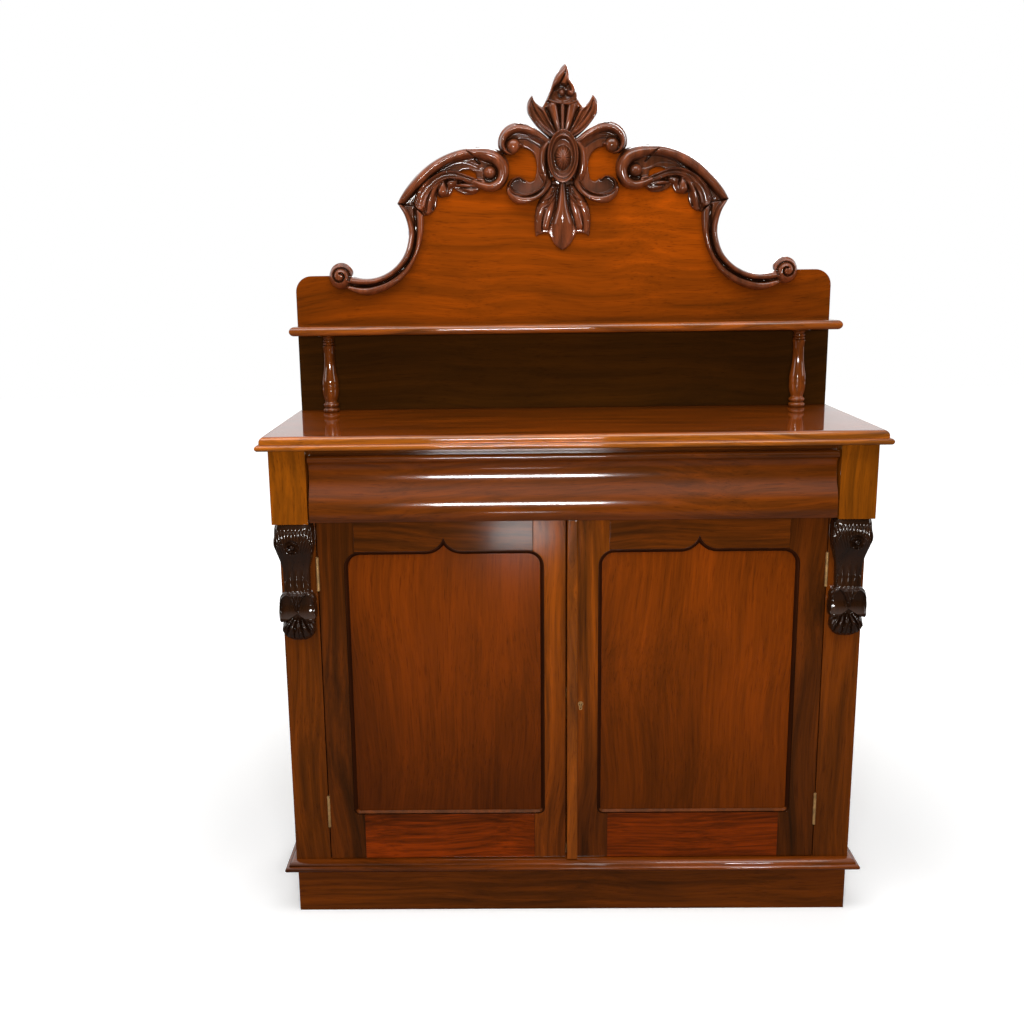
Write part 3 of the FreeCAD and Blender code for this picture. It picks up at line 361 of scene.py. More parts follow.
def trace(outline, step=2.0):
    """The points along a closed outline of (across, up, arriving radius) corners.

    A radius is positive for an arc that turns anticlockwise, and None for a straight edge.
    """
    points = []
    for (ax, az, _), (bx, bz, radius) in zip(outline, outline[1:] + outline[:1]):
        start, end = np.array([ax, az], float), np.array([bx, bz], float)
        way = end - start
        length = np.hypot(*way)
        count = max(1, int(length / step))
        if radius is None:
            points += [start + way * t / count for t in range(count)]
            continue
        reach = math.sqrt(max(radius * radius - length * length / 4, 0))
        leftward = np.array([-way[1], way[0]]) / length
        centre = (start + end) / 2 + leftward * math.copysign(reach, radius)
        first = math.atan2(*(start - centre)[::-1])
        turn = math.atan2(*(end - centre)[::-1]) - first
        turn = turn % math.tau if radius > 0 else -((-turn) % math.tau)
        points += [centre + abs(radius) * np.array([math.cos(first + turn * t / count),
                                                    math.sin(first + turn * t / count)])
                   for t in range(count)]
    return np.array(points)


def ellipse(x, z, across, up, count):
    turn = np.linspace(0, math.tau, count, endpoint=False)
    return np.stack([x + across * np.cos(turn), z + up * np.sin(turn)], axis=1)


def curve(rows, steps=8):
    """Rows of numbers drawn out into a smooth run through each of them."""
    rows = np.array(rows, float)
    if len(rows) < 3:
        return np.array([rows[0] + (rows[-1] - rows[0]) * t / steps for t in range(steps + 1)])
    padded = np.vstack([2 * rows[0] - rows[1], rows, 2 * rows[-1] - rows[-2]])
    made = []
    for a, b, c, d in zip(padded, padded[1:], padded[2:], padded[3:]):
        for t in np.linspace(0, 1, steps, endpoint=False):
            made.append(0.5 * (2 * b + (c - a) * t + (2 * a - 5 * b + 4 * c - d) * t * t
                               + (3 * b - a - 3 * c + d) * t ** 3))
    return np.array(made + [rows[-1]])


def arc(x, z, radius, angles, width, height):
    """Rows for a stroke round part of a circle, from its first angle to its last."""
    return [(x + radius * math.cos(a), z + radius * math.sin(a), width, height) for a in angles]


def spiral(x, z, start_angle, turns, outer, inner, width, height, steps=26):
    """Rows for a coil that winds inwards; turns are positive anticlockwise."""
    rows = []
    for t in np.linspace(0, 1, steps):
        angle = math.radians(start_angle) + math.tau * turns * t
        radius = outer + (inner - outer) * t
        rows += arc(x, z, radius, [angle], width * (1 - 0.35 * t), height)
    return rows


def nearest(x, z, line, closed=False):
    """For each point, its distance from a line, and the line's values at the nearest place."""
    best = np.full(x.shape, np.inf)
    values = np.zeros(x.shape + (line.shape[1],))
    ends = np.roll(line, -1, axis=0) if closed else line[1:]
    for a, b in zip(line, ends):
        way = b - a
        squared = way[0] ** 2 + way[1] ** 2
        if squared < 1e-12:
            continue
        t = np.clip(((x - a[0]) * way[0] + (z - a[1]) * way[1]) / squared, 0, 1)
        away = np.hypot(x - a[0] - t * way[0], z - a[1] - t * way[1])
        closer = away < best
        best[closer] = away[closer]
        values[closer] = a + t[closer][:, None] * way
    return best, values


def within(x, z, loop):
    """Which points lie inside a closed loop."""
    inside = np.zeros(x.shape, bool)
    for a, b in zip(loop, np.roll(loop, -1, axis=0)):
        crosses = (a[1] > z) != (b[1] > z)
        if a[1] != b[1]:
            inside ^= crosses & (x < (b[0] - a[0]) * (z - a[1]) / (b[1] - a[1]) + a[0])
    return inside


# ------------------------------------------------------------------ carved relief

# The tools that raise a face, by what they leave at u, the share of the stroke's half width.
RAISED = {
    "round": lambda u, height, floor: height * np.sqrt(1 - u * u),
    "soft": lambda u, height, floor: height * (1 - u * u) ** 0.8,
    "ridge": lambda u, height, floor: floor + (height - floor) * (1 - u) ** 0.8,
    "band": lambda u, height, floor: height * (1 - u ** 6) ** 0.5,
}
RIM = 0.55      # the share of a carving's height that stands at its rim
SUNK = 0.3      # how far a carving's back lies inside the board


def close_back(work, origin, outward):
    """Carry the open rim of a relief back to a plane, and close it there."""
    loose = [vert for vert in work.verts if not vert.link_faces]
    bmesh.ops.delete(work, geom=loose, context="VERTS")
    back = []
    sunk = {}
    for edge in [edge for edge in work.edges if len(edge.link_faces) == 1]:
        for vert in edge.verts:
            if vert not in sunk:
                depth = (vert.co - origin).dot(outward)
                sunk[vert] = work.verts.new(vert.co - outward * depth)
        first, second = edge.verts
        ends = (sunk[first], sunk[second])
        work.faces.new((first, second, *reversed(ends)))
        back.append(work.edges.get(ends))
    bmesh.ops.triangle_fill(work, use_beauty=False, edges=back)
    bmesh.ops.recalc_face_normals(work, faces=work.faces)


class Relief:
    """A carved face over an outline: heights stand forward of the board, in millimetres.

    It starts level with ground, and its rim is rounded over the width of easing.
    """

    def __init__(self, outline, ground, step=0.9, easing=3.0, holes=()):
        self.step, self.easing = step, easing
        low, high = outline.min(axis=0) - 2 * step, outline.max(axis=0) + 2 * step
        self.x, self.z = np.meshgrid(np.arange(low[0], high[0], step),
                                     np.arange(low[1], high[1], step))
        self.h = np.full(self.x.shape, float(ground))
        # the distance inside the nearest outline, and the nearest place on it
        self.edge = np.full(self.x.shape, np.inf)
        self.snap = np.zeros(self.x.shape + (2,))
        inside = np.zeros(self.x.shape, bool)
        for loop in (outline, *holes):
            inside ^= within(self.x, self.z, loop)
            away, place = nearest(self.x, self.z, loop, closed=True)
            closer = away < self.edge
            self.edge[closer] = away[closer]
            self.snap[closer] = place[closer]
        self.edge[~inside] *= -1

    def stroke(self, kind, rows, floor=0.0, steps=8):
        """One pass of a tool along a line of (across, up, half width, height).

        Besides the tools in RAISED, add lays a bump on the face, cut takes a groove out of it, and
        cove hollows it down to a floor.
        """
        away, values = nearest(self.x, self.z, curve(rows, steps))
        width, height = np.maximum(values[..., 2], 0.01), values[..., 3]
        u = np.clip(away / width, 0, 1)
        inside = away < width
        if kind in RAISED:
            self.h = np.maximum(self.h, np.where(inside, RAISED[kind](u, height, floor), 0))
        elif kind == "add":
            self.h = self.h + np.where(inside, height * (1 - u * u) ** 2, 0)
        elif kind == "cut":
            self.h = self.h - np.where(inside, height * (1 - u) ** 0.9, 0)
        elif kind == "cove":
            hollow = np.minimum(self.h, floor + (height - floor) * u ** 2)
            self.h = np.where(inside, hollow, self.h)

    def dome(self, x, z, across, up, height, power=0.5):
        u = ((self.x - x) / across) ** 2 + ((self.z - z) / up) ** 2
        self.h = np.maximum(self.h, height * np.clip(1 - u, 0, 1) ** power)

    def dish(self, x, z, across, up, floor, rim):
        u = ((self.x - x) / across) ** 2 + ((self.z - z) / up) ** 2
        self.h = np.where(u < 1, np.minimum(self.h, floor + (rim - floor) * u), self.h)

    def smooth(self, rounds=1):
        for _ in range(rounds):
            h = np.pad(self.h, 1, mode="edge")
            self.h = (self.h * 4 + h[1:-1, :-2] + h[1:-1, 2:] + h[:-2, 1:-1] + h[2:, 1:-1]) / 8

    def build(self, name, node, material, side=1, place=None, lowest=1.0):
        """The closed mesh, nowhere lower than lowest but at its rim.

        place turns (across, up, forward) into a point of the frame.
        """
        place = place or (lambda across, up, out: (side * across, BOARD_FRONT - out, up))
        self.smooth()
        eased = np.clip(self.edge / self.easing, 0, 1)
        rounding = RIM + (1 - RIM) * np.sqrt(1 - (1 - eased) ** 2)
        h = np.maximum(self.h, lowest) * rounding
        # the points next to the outline move onto it
        keep = self.edge > -self.step / 2
        moved = np.abs(self.edge) <= self.step / 2
        x = np.where(moved, self.snap[..., 0], self.x)
        z = np.where(moved, self.snap[..., 1], self.z)
        number = np.full(keep.shape, -1)
        number[keep] = np.arange(keep.sum())
        corners = np.stack([number[:-1, :-1], number[:-1, 1:], number[1:, 1:], number[1:, :-1]],
                           axis=-1)
        rings = [[int(n) for n in quad if n >= 0] for quad in corners.reshape(-1, 4)]
        mesh = mesh_of(name, [place(*row) for row in zip(x[keep], z[keep], h[keep])],
                       [ring for ring in rings if len(ring) >= 3])
        with editing(mesh) as work:
            close_back(work, Vector(place(0, 0, -SUNK)) * MM,
                       Vector(place(0, 0, 1)) - Vector(place(0, 0, 0)))
        shade(mesh, CARVED_SHARP)
        dress(link(name, mesh), node, material)


# The outlines of the crest pieces, as (across, up, arriving radius).
SWEEP = [
    (330, 1361, None), (397, 1215.4, 88.3), (426, 1221, 101), (430, 1240, -15), (470, 1232, -24),
    (466, 1203, -26), (437, 1197, -26), (397, 1182, -103), (311, 1228, -127), (278, 1338, -182),
    (296, 1356, None),
]
SHOULDER = [
    (330, 1361, None), (167, 1467, 185.9), (123, 1460, 138), (110, 1401, 49), (164, 1388, 37.3),
    (176, 1378, 20), (218, 1392, 40), (237, 1373, 17.5), (252, 1378, 11.5), (270, 1338, 31.5),
    (278, 1338, None), (296, 1356, None),
]
SCROLL = [
    (20, 1402, None), (20, 1482, None), (29, 1482, None), (91, 1512, -111.9), (127, 1467, -38.6),
    (108, 1451, -25.2), (84, 1465, -23.8), (57, 1452, 30), (53, 1412, 50), (66, 1399, 12),
    (84, 1411, None), (110, 1395, -26), (75, 1357, -30), (21, 1394, -76.4),
]
LEAF = [
    (27, 1483, None), (68, 1528, 137), (59, 1563, 31.5), (41, 1539, -44), (28.5, 1558, -60),
    (20.5, 1581, 40), (14.3, 1592, -60), (13.8, 1603, 60), (6, 1621, 60), (-21, 1581, 79),
    (-39, 1541, -182), (-59, 1563, -28.3), (-68, 1528, 31.5), (-27, 1483, 137),
]
DROP = [
    (0, 1267, None), (20, 1286, 38), (28, 1300, None), (53, 1294, -31), (53, 1350, 131),
    (27, 1392, 111), (24, 1402, None), (-24, 1402, None), (-27, 1392, None), (-53, 1350, 111),
    (-53, 1294, 131), (-28, 1300, -31), (-20, 1286, None), (0, 1267, 38),
]


def carve_sweep(side):
    """The S-shaped moulding: two beads, a groove between them and a ball scroll at the foot."""
    made = Relief(trace(SWEEP), 8, easing=2.5)
    made.stroke("round", [
        (323, 1356, 6, 20), (312, 1340, 7.5, 23), (303, 1306, 8, 24), (306, 1280, 8, 24),
        (318, 1251, 8, 24), (345, 1225, 8, 24), (378, 1211, 8, 24), (412, 1210, 8, 24),
        (436, 1214, 8, 25)])
    made.stroke("round", [
        (286, 1346, 9, 15), (286, 1322, 9, 16), (288, 1290, 9, 17), (298, 1255, 9.5, 18),
        (322, 1223, 10, 18), (358, 1202, 10, 18), (398, 1192, 10, 19), (430, 1196, 11, 20)])
    made.stroke("cut", [
        (296, 1350, 3, 5), (295, 1300, 3.5, 6), (306, 1256, 3.5, 7), (343, 1219, 3.5, 7),
        (381, 1203, 3.5, 7), (412, 1201, 3, 6), (428, 1204, 2, 2)])
    made.dome(448, 1220, 25, 25, 27)
    made.stroke("cut", spiral(449, 1221, 205, -1.35, 19, 5, 3.6, 9), steps=3)
    made.build("sweep_carving", "scroll_moulding_" + hand_of(side), "carved", side)


def carve_shoulder(side):
    """The arched moulding over a leaf, a stem and a volute."""
    slit = np.array([(170, 1406), (181, 1411), (196, 1416.5), (206, 1419.5), (197, 1424),
                     (184, 1425), (172, 1419)])
    made = Relief(trace(SHOULDER), 5, holes=[slit])
    # leaf lobes
    for rows in (
            [(172, 1394, 7, 13), (186, 1393, 8, 15), (200, 1395, 6, 14), (210, 1395, 3, 10)],
            [(166, 1388, 6, 11), (182, 1385, 6, 12), (196, 1388, 4, 11)],
            [(240, 1402, 8, 14), (239, 1390, 12, 17), (238, 1380, 12, 17), (238, 1374, 8, 10)],
            [(246, 1404, 8, 15), (258, 1386, 10, 17), (266, 1362, 11, 17), (269, 1345, 8, 12)],
            [(262, 1398, 7, 15), (274, 1374, 8, 17), (282, 1352, 8, 14)],
            [(214, 1402, 8, 13), (224, 1398, 10, 14), (228, 1392, 6, 10)]):
        made.stroke("round", rows)
    for rows in (
            [(240, 1400, 2, 4), (254, 1376, 3, 5), (260, 1350, 2.5, 5)],
            [(256, 1396, 2, 4), (267, 1374, 3, 5), (273, 1346, 2.5, 5)],
            [(174, 1390, 1.5, 4), (190, 1390, 2, 5), (204, 1391, 1.5, 4)],
            [(232, 1398, 2, 3), (230, 1388, 2, 4), (232, 1378, 1.5, 3)]):
        made.stroke("cut", rows)
    # hollow under the arch
    made.stroke("cove", [
        (170, 1428, 16, 14), (196, 1437, 16, 14), (224, 1432, 15, 14), (252, 1414, 14, 14),
        (282, 1384, 11, 14), (302, 1362, 8, 14)], floor=4)
    # stem: a gutter between two fine ridges
    made.stroke("band", [
        (160, 1400, 8, 16), (182, 1404, 8, 17), (208, 1413, 8, 18), (232, 1414, 9, 18),
        (256, 1402, 10, 18), (276, 1380, 11, 18), (285, 1358, 11, 17)])
    made.stroke("cove", [
        (163, 1399, 4, 17), (182, 1405, 5, 18), (208, 1413.5, 5.5, 19), (232, 1414, 6, 19),
        (256, 1402.5, 7, 19), (277, 1380, 8, 19), (285, 1357, 8, 18)], floor=11)
    made.stroke("ridge", [
        (166, 1404, 2, 18), (195, 1416.3, 2.2, 20), (223, 1422, 2.2, 20), (244, 1418, 2.4, 20),
        (270, 1402, 2.4, 20), (286, 1384, 2.4, 20), (295, 1362, 2.2, 19)], floor=10)
    made.stroke("ridge", [
        (166, 1393, 2, 18), (194, 1404, 2.2, 20), (223, 1409, 2.2, 20), (244, 1403, 2.4, 20),
        (258, 1392, 2.4, 20), (270, 1373, 2.4, 20), (276, 1354, 2.2, 18)], floor=10)
    # arch and volute
    made.stroke("round", [
        (327, 1360, 8, 18), (312, 1377, 10, 21), (290, 1400, 11, 24), (262, 1425, 11.5, 25),
        (232, 1443, 11.5, 25), (200, 1454, 11, 25), (172, 1456, 10, 24)])
    made.stroke("round", [
        (196, 1457, 4, 20), (176, 1456, 9, 23), (152, 1453, 13, 25), (130, 1444, 14, 25),
        (118, 1424, 13, 25), (122, 1402, 12, 24), (140, 1391, 11, 23), (160, 1394, 9, 21),
        (176, 1401, 6, 19)])
    made.stroke("cut", [(190, 1460, 1.5, 4), (176, 1449, 2.5, 6), (164, 1437, 2.5, 6)])
    made.stroke("cut", [
        (131, 1457, 1.2, 3), (118, 1449, 1.8, 4), (109, 1436, 1.8, 4), (106, 1418, 1.2, 2)])
    made.dish(145, 1419, 19.5, 19.5, 3, 24)
    made.stroke("cove", [(150, 1426, 8, 12), (163, 1424, 7, 12), (176, 1428, 7, 12)], floor=4)
    made.dome(144, 1418.5, 14.5, 14.5, 25)
    made.build("shoulder_carving", "shoulder_scroll_" + hand_of(side), "carved", side)


def carve_scroll(side):
    """The C-scroll beside the boss, with a curl on its upper arm and a hollow in its lower one."""
    made = Relief(trace(SCROLL, step=1.0), 6, step=0.7)
    # upper arm and its curl
    made.stroke("round", [
        (26, 1474, 8, 18), (42, 1483, 10, 21), (62, 1496, 10.5, 24), (84, 1501, 9, 25),
        (102, 1497, 8.5, 25), (115, 1485, 7.5, 25), (118.5, 1470, 6, 23), (112, 1457, 4.5, 20),
        (101, 1451.5, 3, 16)])
    made.stroke("ridge", [
        (38, 1492, 2, 17), (62, 1504, 2.4, 22), (80, 1509, 2.4, 22), (91, 1510, 1.5, 16)], floor=8)
    made.stroke("cove", [
        (34, 1460, 10, 14), (50, 1472, 10, 14), (70, 1482, 8, 14), (88, 1483, 7, 13)], floor=4)
    made.dome(97.5, 1468, 16, 16, 20, power=0.35)
    made.stroke("round", [(82, 1469, 3.6, 21), (83, 1469.4, 3.6, 21)])
    # back of the C beside the boss
    made.stroke("round", [
        (28, 1474, 8, 18), (37, 1458, 9, 20), (39, 1438, 9.5, 21), (38, 1420, 9.5, 20),
        (32, 1404, 9, 18)])
    # lower arm: a round outer back under a sharp rim, a polished hollow inside it
    made.stroke("round", [
        (28, 1398, 10, 16), (38, 1378, 12, 20), (56, 1366, 13, 22), (78, 1364, 13, 23),
        (98, 1371, 12, 22), (108, 1384, 9, 19)])
    made.stroke("cove", [
        (44, 1412, 8, 24), (50, 1396, 10, 24), (64, 1385, 11, 24), (84, 1389, 17, 25),
        (88, 1392, 15, 25)], floor=12)
    made.dish(86, 1391, 18, 18, 12, 27)
    made.stroke("ridge", [
        (33, 1420, 2, 20), (34, 1402, 2.3, 23), (43, 1387, 2.5, 25), (61, 1376, 2.5, 26),
        (83, 1373, 2.5, 26), (99, 1379, 2.5, 26), (105, 1391, 2.4, 26), (99, 1403, 2.2, 25),
        (86, 1408, 2.2, 24), (76, 1402, 2, 22)], floor=12)
    made.build("scroll_carving", "crest_scroll_" + hand_of(side), "carved", side)


def carve_boss():
    """The oval boss: two stepped rings round a domed rosette of sixteen rays."""
    middle, across, up = 1446, 31, 51
    made = Relief(ellipse(0, middle, across, up, 160), 20, step=0.5, easing=2.0)
    u = np.hypot(made.x / across, (made.z - middle) / up)
    made.h = np.interp(u, [0, 0.64, 0.69, 0.75, 0.78, 0.81, 0.84, 0.92, 0.95, 0.98, 1.0, 1.2],
                       [19, 19, 22, 28.5, 29.5, 28.8, 26.5, 31, 32.5, 32, 28, 20])
    made.smooth(3)
    middle, across, up = 1443, 20.5, 30
    made.dome(0, middle + 0.5, across, up, 34, power=0.55)
    angle = np.arctan2((made.z - middle) * 0.8, made.x)
    rays = np.abs(np.sin(angle * 8)) ** 0.5
    u = np.hypot(made.x / across, (made.z - middle) / up)
    made.h -= 2.4 * (1 - rays) * np.clip(u * 3, 0, 1) * np.clip((0.86 - u) / 0.2, 0, 1)
    made.dome(0, middle, 2.4, 2.4, 35)
    made.build("boss_carving", "crest_boss", "carved")


def carve_leaf():
    """The leaf over the boss: outer lobes, a fluted middle and a flame that curls over a ball."""
    made = Relief(trace(LEAF, step=1.0), 7, step=0.7)
    for side in (-1, 1):
        # outer lobe: a broad hollow between raised edges
        made.stroke("soft", [
            (side * 16, 1488, 8, 10), (side * 36, 1507, 13, 10), (side * 54, 1527, 14, 10),
            (side * 62, 1546, 8, 10)])
        made.stroke("round", [
            (side * 22, 1484, 3, 12), (side * 44, 1499, 4, 15), (side * 62, 1520, 4.5, 16),
            (side * 66, 1540, 4, 15), (side * 61, 1557, 2, 9)])
        made.stroke("round", [
            (side * 14, 1492, 3, 12), (side * 25, 1510, 4, 15), (side * 37, 1532, 4, 15),
            (side * 46, 1540, 3, 11)])
        made.stroke("cut", [
            (side * 60, 1552, 1, 2), (side * 55, 1536, 2.4, 5), (side * 40, 1514, 2.4, 4),
            (side * 26, 1498, 1.4, 2)])
        made.stroke("cut", [
            (side * 10, 1490, 1.8, 3), (side * 20, 1512, 3.0, 9), (side * 32, 1538, 2.4, 7)])
        # inner lobe
        made.stroke("round", [
            (side * 6, 1492, 7, 13), (side * 13, 1516, 9, 16), (side * 19, 1542, 11, 16)])
        made.stroke("cut", [
            (side * 3, 1494, 1.5, 2), (side * 5, 1518, 2.2, 5), (side * 8, 1544, 1.8, 4)])
    made.stroke("round", [(0, 1490, 5, 14), (0, 1518, 5, 16), (0, 1545, 6, 16)])
    # the hollow under the flame, and its lip
    made.dish(1, 1562, 27, 17, 1.5, 15)
    made.stroke("round", [
        (-31, 1555, 2.6, 14), (-19, 1549, 3.0, 17), (-3, 1546, 3.2, 18), (14, 1545.5, 3.2, 18),
        (26, 1550, 2.6, 15), (28, 1556, 1.4, 10)])
    # the flame, its vein and the curl on its right
    made.stroke("round", [
        (-29, 1553, 4, 15), (-24, 1568, 5.5, 18), (-17, 1582, 8, 21), (-7, 1594, 10, 22),
        (2, 1605, 8.5, 20), (6, 1614, 5, 16), (6.5, 1620.5, 1.6, 8)])
    made.stroke("round", [
        (2, 1583, 9, 19), (6, 1594, 8.5, 19), (8, 1605, 5.5, 16), (7, 1615, 2.5, 10)])
    made.stroke("cut", [
        (8, 1614, 1.0, 2), (5, 1603, 1.8, 4), (0, 1592, 1.8, 4), (-6, 1582, 1.2, 2)])
    made.stroke("cove", [(-14, 1572, 5, 17), (-6, 1578.5, 5, 17), (4, 1577, 5, 17)], floor=3)
    made.stroke("round", [
        (11, 1604, 2.5, 13), (10.5, 1596, 3.5, 17), (12, 1588, 5, 21), (18, 1580, 6, 23),
        (20.5, 1571, 6, 23), (17, 1564, 5.5, 22)])
    made.dome(14.0, 1566, 6, 6, 23)
    made.dome(-1.5, 1567, 8, 8, 14)
    made.build("leaf_carving", "crest_leaf", "carved")


def carve_drop():
    """The leaf under the boss: two lobes on each side and a long middle one."""
    made = Relief(trace(DROP, step=1.0), 5, step=0.7)
    for side in (-1, 1):
        made.stroke("soft", [
            (side * 20, 1388, 7, 11), (side * 34, 1364, 13, 12), (side * 45, 1338, 14, 12),
            (side * 49, 1306, 9, 8)])
        made.stroke("soft", [
            (side * 14, 1388, 6, 11), (side * 25, 1346, 12, 12), (side * 34, 1314, 11, 10)])
        made.stroke("cut", [
            (side * 33, 1352, 1.2, 2), (side * 40, 1328, 1.8, 4), (side * 41, 1304, 1.4, 3)])
        made.stroke("ridge", [
            (side * 16, 1393, 1.6, 14), (side * 19, 1376, 2.0, 16), (side * 30, 1366, 2.0, 15),
            (side * 46, 1357, 1.6, 13)], floor=9)
        made.stroke("ridge", [
            (side * 11, 1390, 1.6, 14), (side * 17, 1368, 2.0, 16), (side * 30, 1354, 2.0, 15),
            (side * 48, 1346, 1.6, 12)], floor=9)
        made.stroke("ridge", [
            (side * 50, 1350, 1.6, 11), (side * 53, 1334, 1.8, 13),
            (side * 52, 1310, 1.4, 10)], floor=7)
        made.stroke("cut", [
            (side * 9, 1386, 1.5, 2), (side * 14, 1352, 2.5, 4), (side * 23, 1322, 2.5, 4),
            (side * 28, 1304, 1.5, 2)])
    made.stroke("round", [
        (0, 1394, 7, 14), (0, 1352, 12, 17), (0, 1324, 20, 17), (0, 1308, 22, 14),
        (0, 1290, 21, 11), (0, 1274, 16, 7), (0, 1264, 12, 4)])
    made.stroke("add", [(0, 1322, 5, 0.5), (0, 1306, 5, 1.6), (0, 1288, 4, 1.6), (0, 1272, 2, 1)])
    made.build("drop_carving", "crest_drop", "carved")


# A corbel's front face from the foot up, as (height, forward of the stile).
CORBEL_FRONT = [
    (561, 4.5), (570, 13), (580, 17), (590, 14), (598, 11), (604, 13), (614, 22), (626, 24),
    (640, 20), (655, 14.5), (672, 12.5), (690, 12.3), (702, 13.2), (713, 16), (724, 21), (735, 27),
    (745, 30.3), (756, 31), (767, 29.3), (777, 26), (787, 23),
]
# Half of a corbel's outline, as (across, up, arriving radius).
CORBEL_HALF = [
    (0, 561, None), (10, 561, None), (31, 582, 30), (29.5, 598, None), (33, 604, None),
    (33, 634, 60), (24, 656, 20), (25, 700, None), (34.5, 735, None), (36, 766, 160),
    (33, 787, 60), (0, 787, None),
]
# How full the corners of a corbel's cross-section are, by height.
CORBEL_CORNER = [
    (561, 0.5), (600, 0.5), (606, 0.4), (655, 0.35), (662, 0.62), (700, 0.62), (720, 0.58),
    (740, 0.55), (787, 0.55),
]


def by_height(z, rows):
    """The second values of some rows, read off at heights among their first values."""
    rows = np.array(rows)
    return np.interp(z, rows[:, 0], rows[:, 1])


def carve_corbel(side):
    """A corbel: a reeded head with a knob, a shaft, two turned-over leaves and a foot of lobes."""
    half = trace(CORBEL_HALF, step=0.6)
    half = half[half[:, 0] > 0.01]
    outline = np.vstack([half, half[::-1] * [-1, 1]])
    made = Relief(outline, 0, step=0.6, easing=2.0)
    depth = by_height(made.z, curve(CORBEL_FRONT))
    across = np.abs(made.x)
    u = across / by_height(made.z, half[half[:, 1].argsort()][:, ::-1])
    corner = by_height(made.z, CORBEL_CORNER)
    made.h = depth * (corner + (1 - corner) * np.sqrt(np.clip(1 - u ** 4, 0, 1)))

    def over(low, high, soft):
        """1 between two heights, falling softly to 0 inside each of them."""
        return np.clip((made.z - low) / soft, 0, 1) * np.clip((high - made.z) / soft, 0, 1)

    # the rolled head: reeds that spread upwards from the knob, which sits further out on the right
    knob, level = (6.0 if side > 0 else 2.5), 744
    rise = (made.x - knob) / (1 + (made.z - level) * 0.012)
    reeds = np.abs(np.cos(rise * math.pi / 4.9)) ** 0.6
    made.h += 2.3 * (reeds - 1) * over(728 + 5 * u ** 2, 778, 5)
    # three soft ribs that rise out of the smooth shaft, under a row of beads
    made.h += 1.3 * over(655, 700, 22) * (np.cos(made.x * math.tau / 12) - 0.4) * (across < 21)
    for middle in (-14, -7.5, 0, 7.5, 14):
        made.dome(middle, 656, 3.6, 4.2, 16.6 - 0.01 * middle ** 2)
    # two turned-over leaves, hollow with a rubbed rim, that part for a fluted fork
    low = by_height(across, [(0, 616), (8, 611), (22, 603), (36, 599.5)])
    hollow = (16 + 9 * np.clip((634 - made.z) / 26, 0, 1) ** 2
              - 4 * np.clip((across - 20) / 14, 0, 1) ** 2)
    body = (made.z > low) & (made.z < 655)
    made.h = np.where(body, hollow, made.h)
    for hand in (-1, 1):
        made.stroke("round", [
            (hand * 15, 654, 1.6, 18), (hand * 24, 650, 2.0, 20), (hand * 30, 642, 2.2, 20.5),
            (hand * 32, 630, 2.4, 20.5), (hand * 32.5, 614, 2.0, 19), (hand * 32, 603, 1.4, 16)])
    fork = by_height(made.z, [(622, 2.5), (630, 3.6), (640, 7.2), (648, 12.5), (656, 20)])
    inside = (across < fork) & (made.z > 622) & (made.z < 653 + 0.006 * across ** 2)
    flutes = np.abs(np.sin(made.x / fork * math.tau))
    made.h = np.where(inside, 27.5 - 2.4 * (1 - flutes), made.h)
    made.h = np.where((made.z <= low) & (made.z > 597), np.minimum(made.h, 9.0), made.h)
    # the foot: lobes that splay outwards
    for hand in (-1, 1):
        made.stroke("round", [
            (hand * 12, 604, 6, 12), (hand * 20, 594, 8, 18), (hand * 27, 582, 6, 17),
            (hand * 30, 577, 2, 6)])
        made.stroke("round", [
            (hand * 7, 602, 5, 13), (hand * 12, 588, 7, 20), (hand * 17, 572, 6, 15),
            (hand * 18, 566, 2, 7)])
        made.stroke("cut", [
            (hand * 10, 602, 1.4, 3), (hand * 19, 584, 1.8, 5), (hand * 23, 572, 1.2, 4)])
        made.stroke("cut", [
            (hand * 16, 600, 1.0, 2), (hand * 24, 588, 1.2, 3), (hand * 29, 580, 1.0, 2)])
        made.stroke("cut", [
            (hand * 4, 600, 1.4, 3), (hand * 7, 584, 1.8, 5), (hand * 9, 566, 1.4, 4)])
    made.stroke("round", [(0, 604, 4, 13), (0, 586, 7, 20), (0, 568, 6, 13), (0, 562, 3, 6)])
    made.stroke("cut", [(0, 598, 1.0, 2), (0, 580, 1.2, 3), (0, 566, 1.0, 2)])
    # the knob, its ring and the lip below them
    made.dish(knob, level, 13.5, 13.5, 23.5, 29)
    lip = np.linspace(math.radians(195), math.radians(345), 15)
    made.stroke("round", arc(knob, level, 12.6, lip, 2.2, 31), steps=2)
    made.dome(knob, level, 9.6, 9.6, 30.5, power=0.4)
    made.stroke("round", arc(knob, level, 7.8, np.linspace(0, math.tau, 25), 1.6, 32.4), steps=2)
    for x, z, size, height in arc(knob, level, 3.6, np.linspace(0, math.tau, 7)[:-1], 2.1, 31.4):
        made.dome(x, z, size, size, height)
    made.dome(knob, level, 1.9, 1.9, 31.8)
    node = "corbel_" + hand_of(side)
    made.build("corbel_carving", node, "corbel", place=lambda across, up, out: (
        side * (CORBEL_MIDDLE + across), STILE_FRONT - out, up))
    # the coil that shows on each flank of the head
    flank = 33.5
    for hand in (-1, 1):
        coil = Relief(ellipse(14, 752, 12.5, 15, 40), 1.0, step=0.6, easing=1.0)
        coil.stroke("round", spiral(14.5, 751, 90, -1.4, 11, 3.0, 2.8, 2.4), steps=3)
        coil.dome(14.5, 750.5, 3.6, 3.6, 2.8)
        coil.build("corbel_coil", node, "corbel", lowest=0.4, place=lambda forward, up, out: (
            side * (CORBEL_MIDDLE + hand * (flank + out)), STILE_FRONT - forward, up))


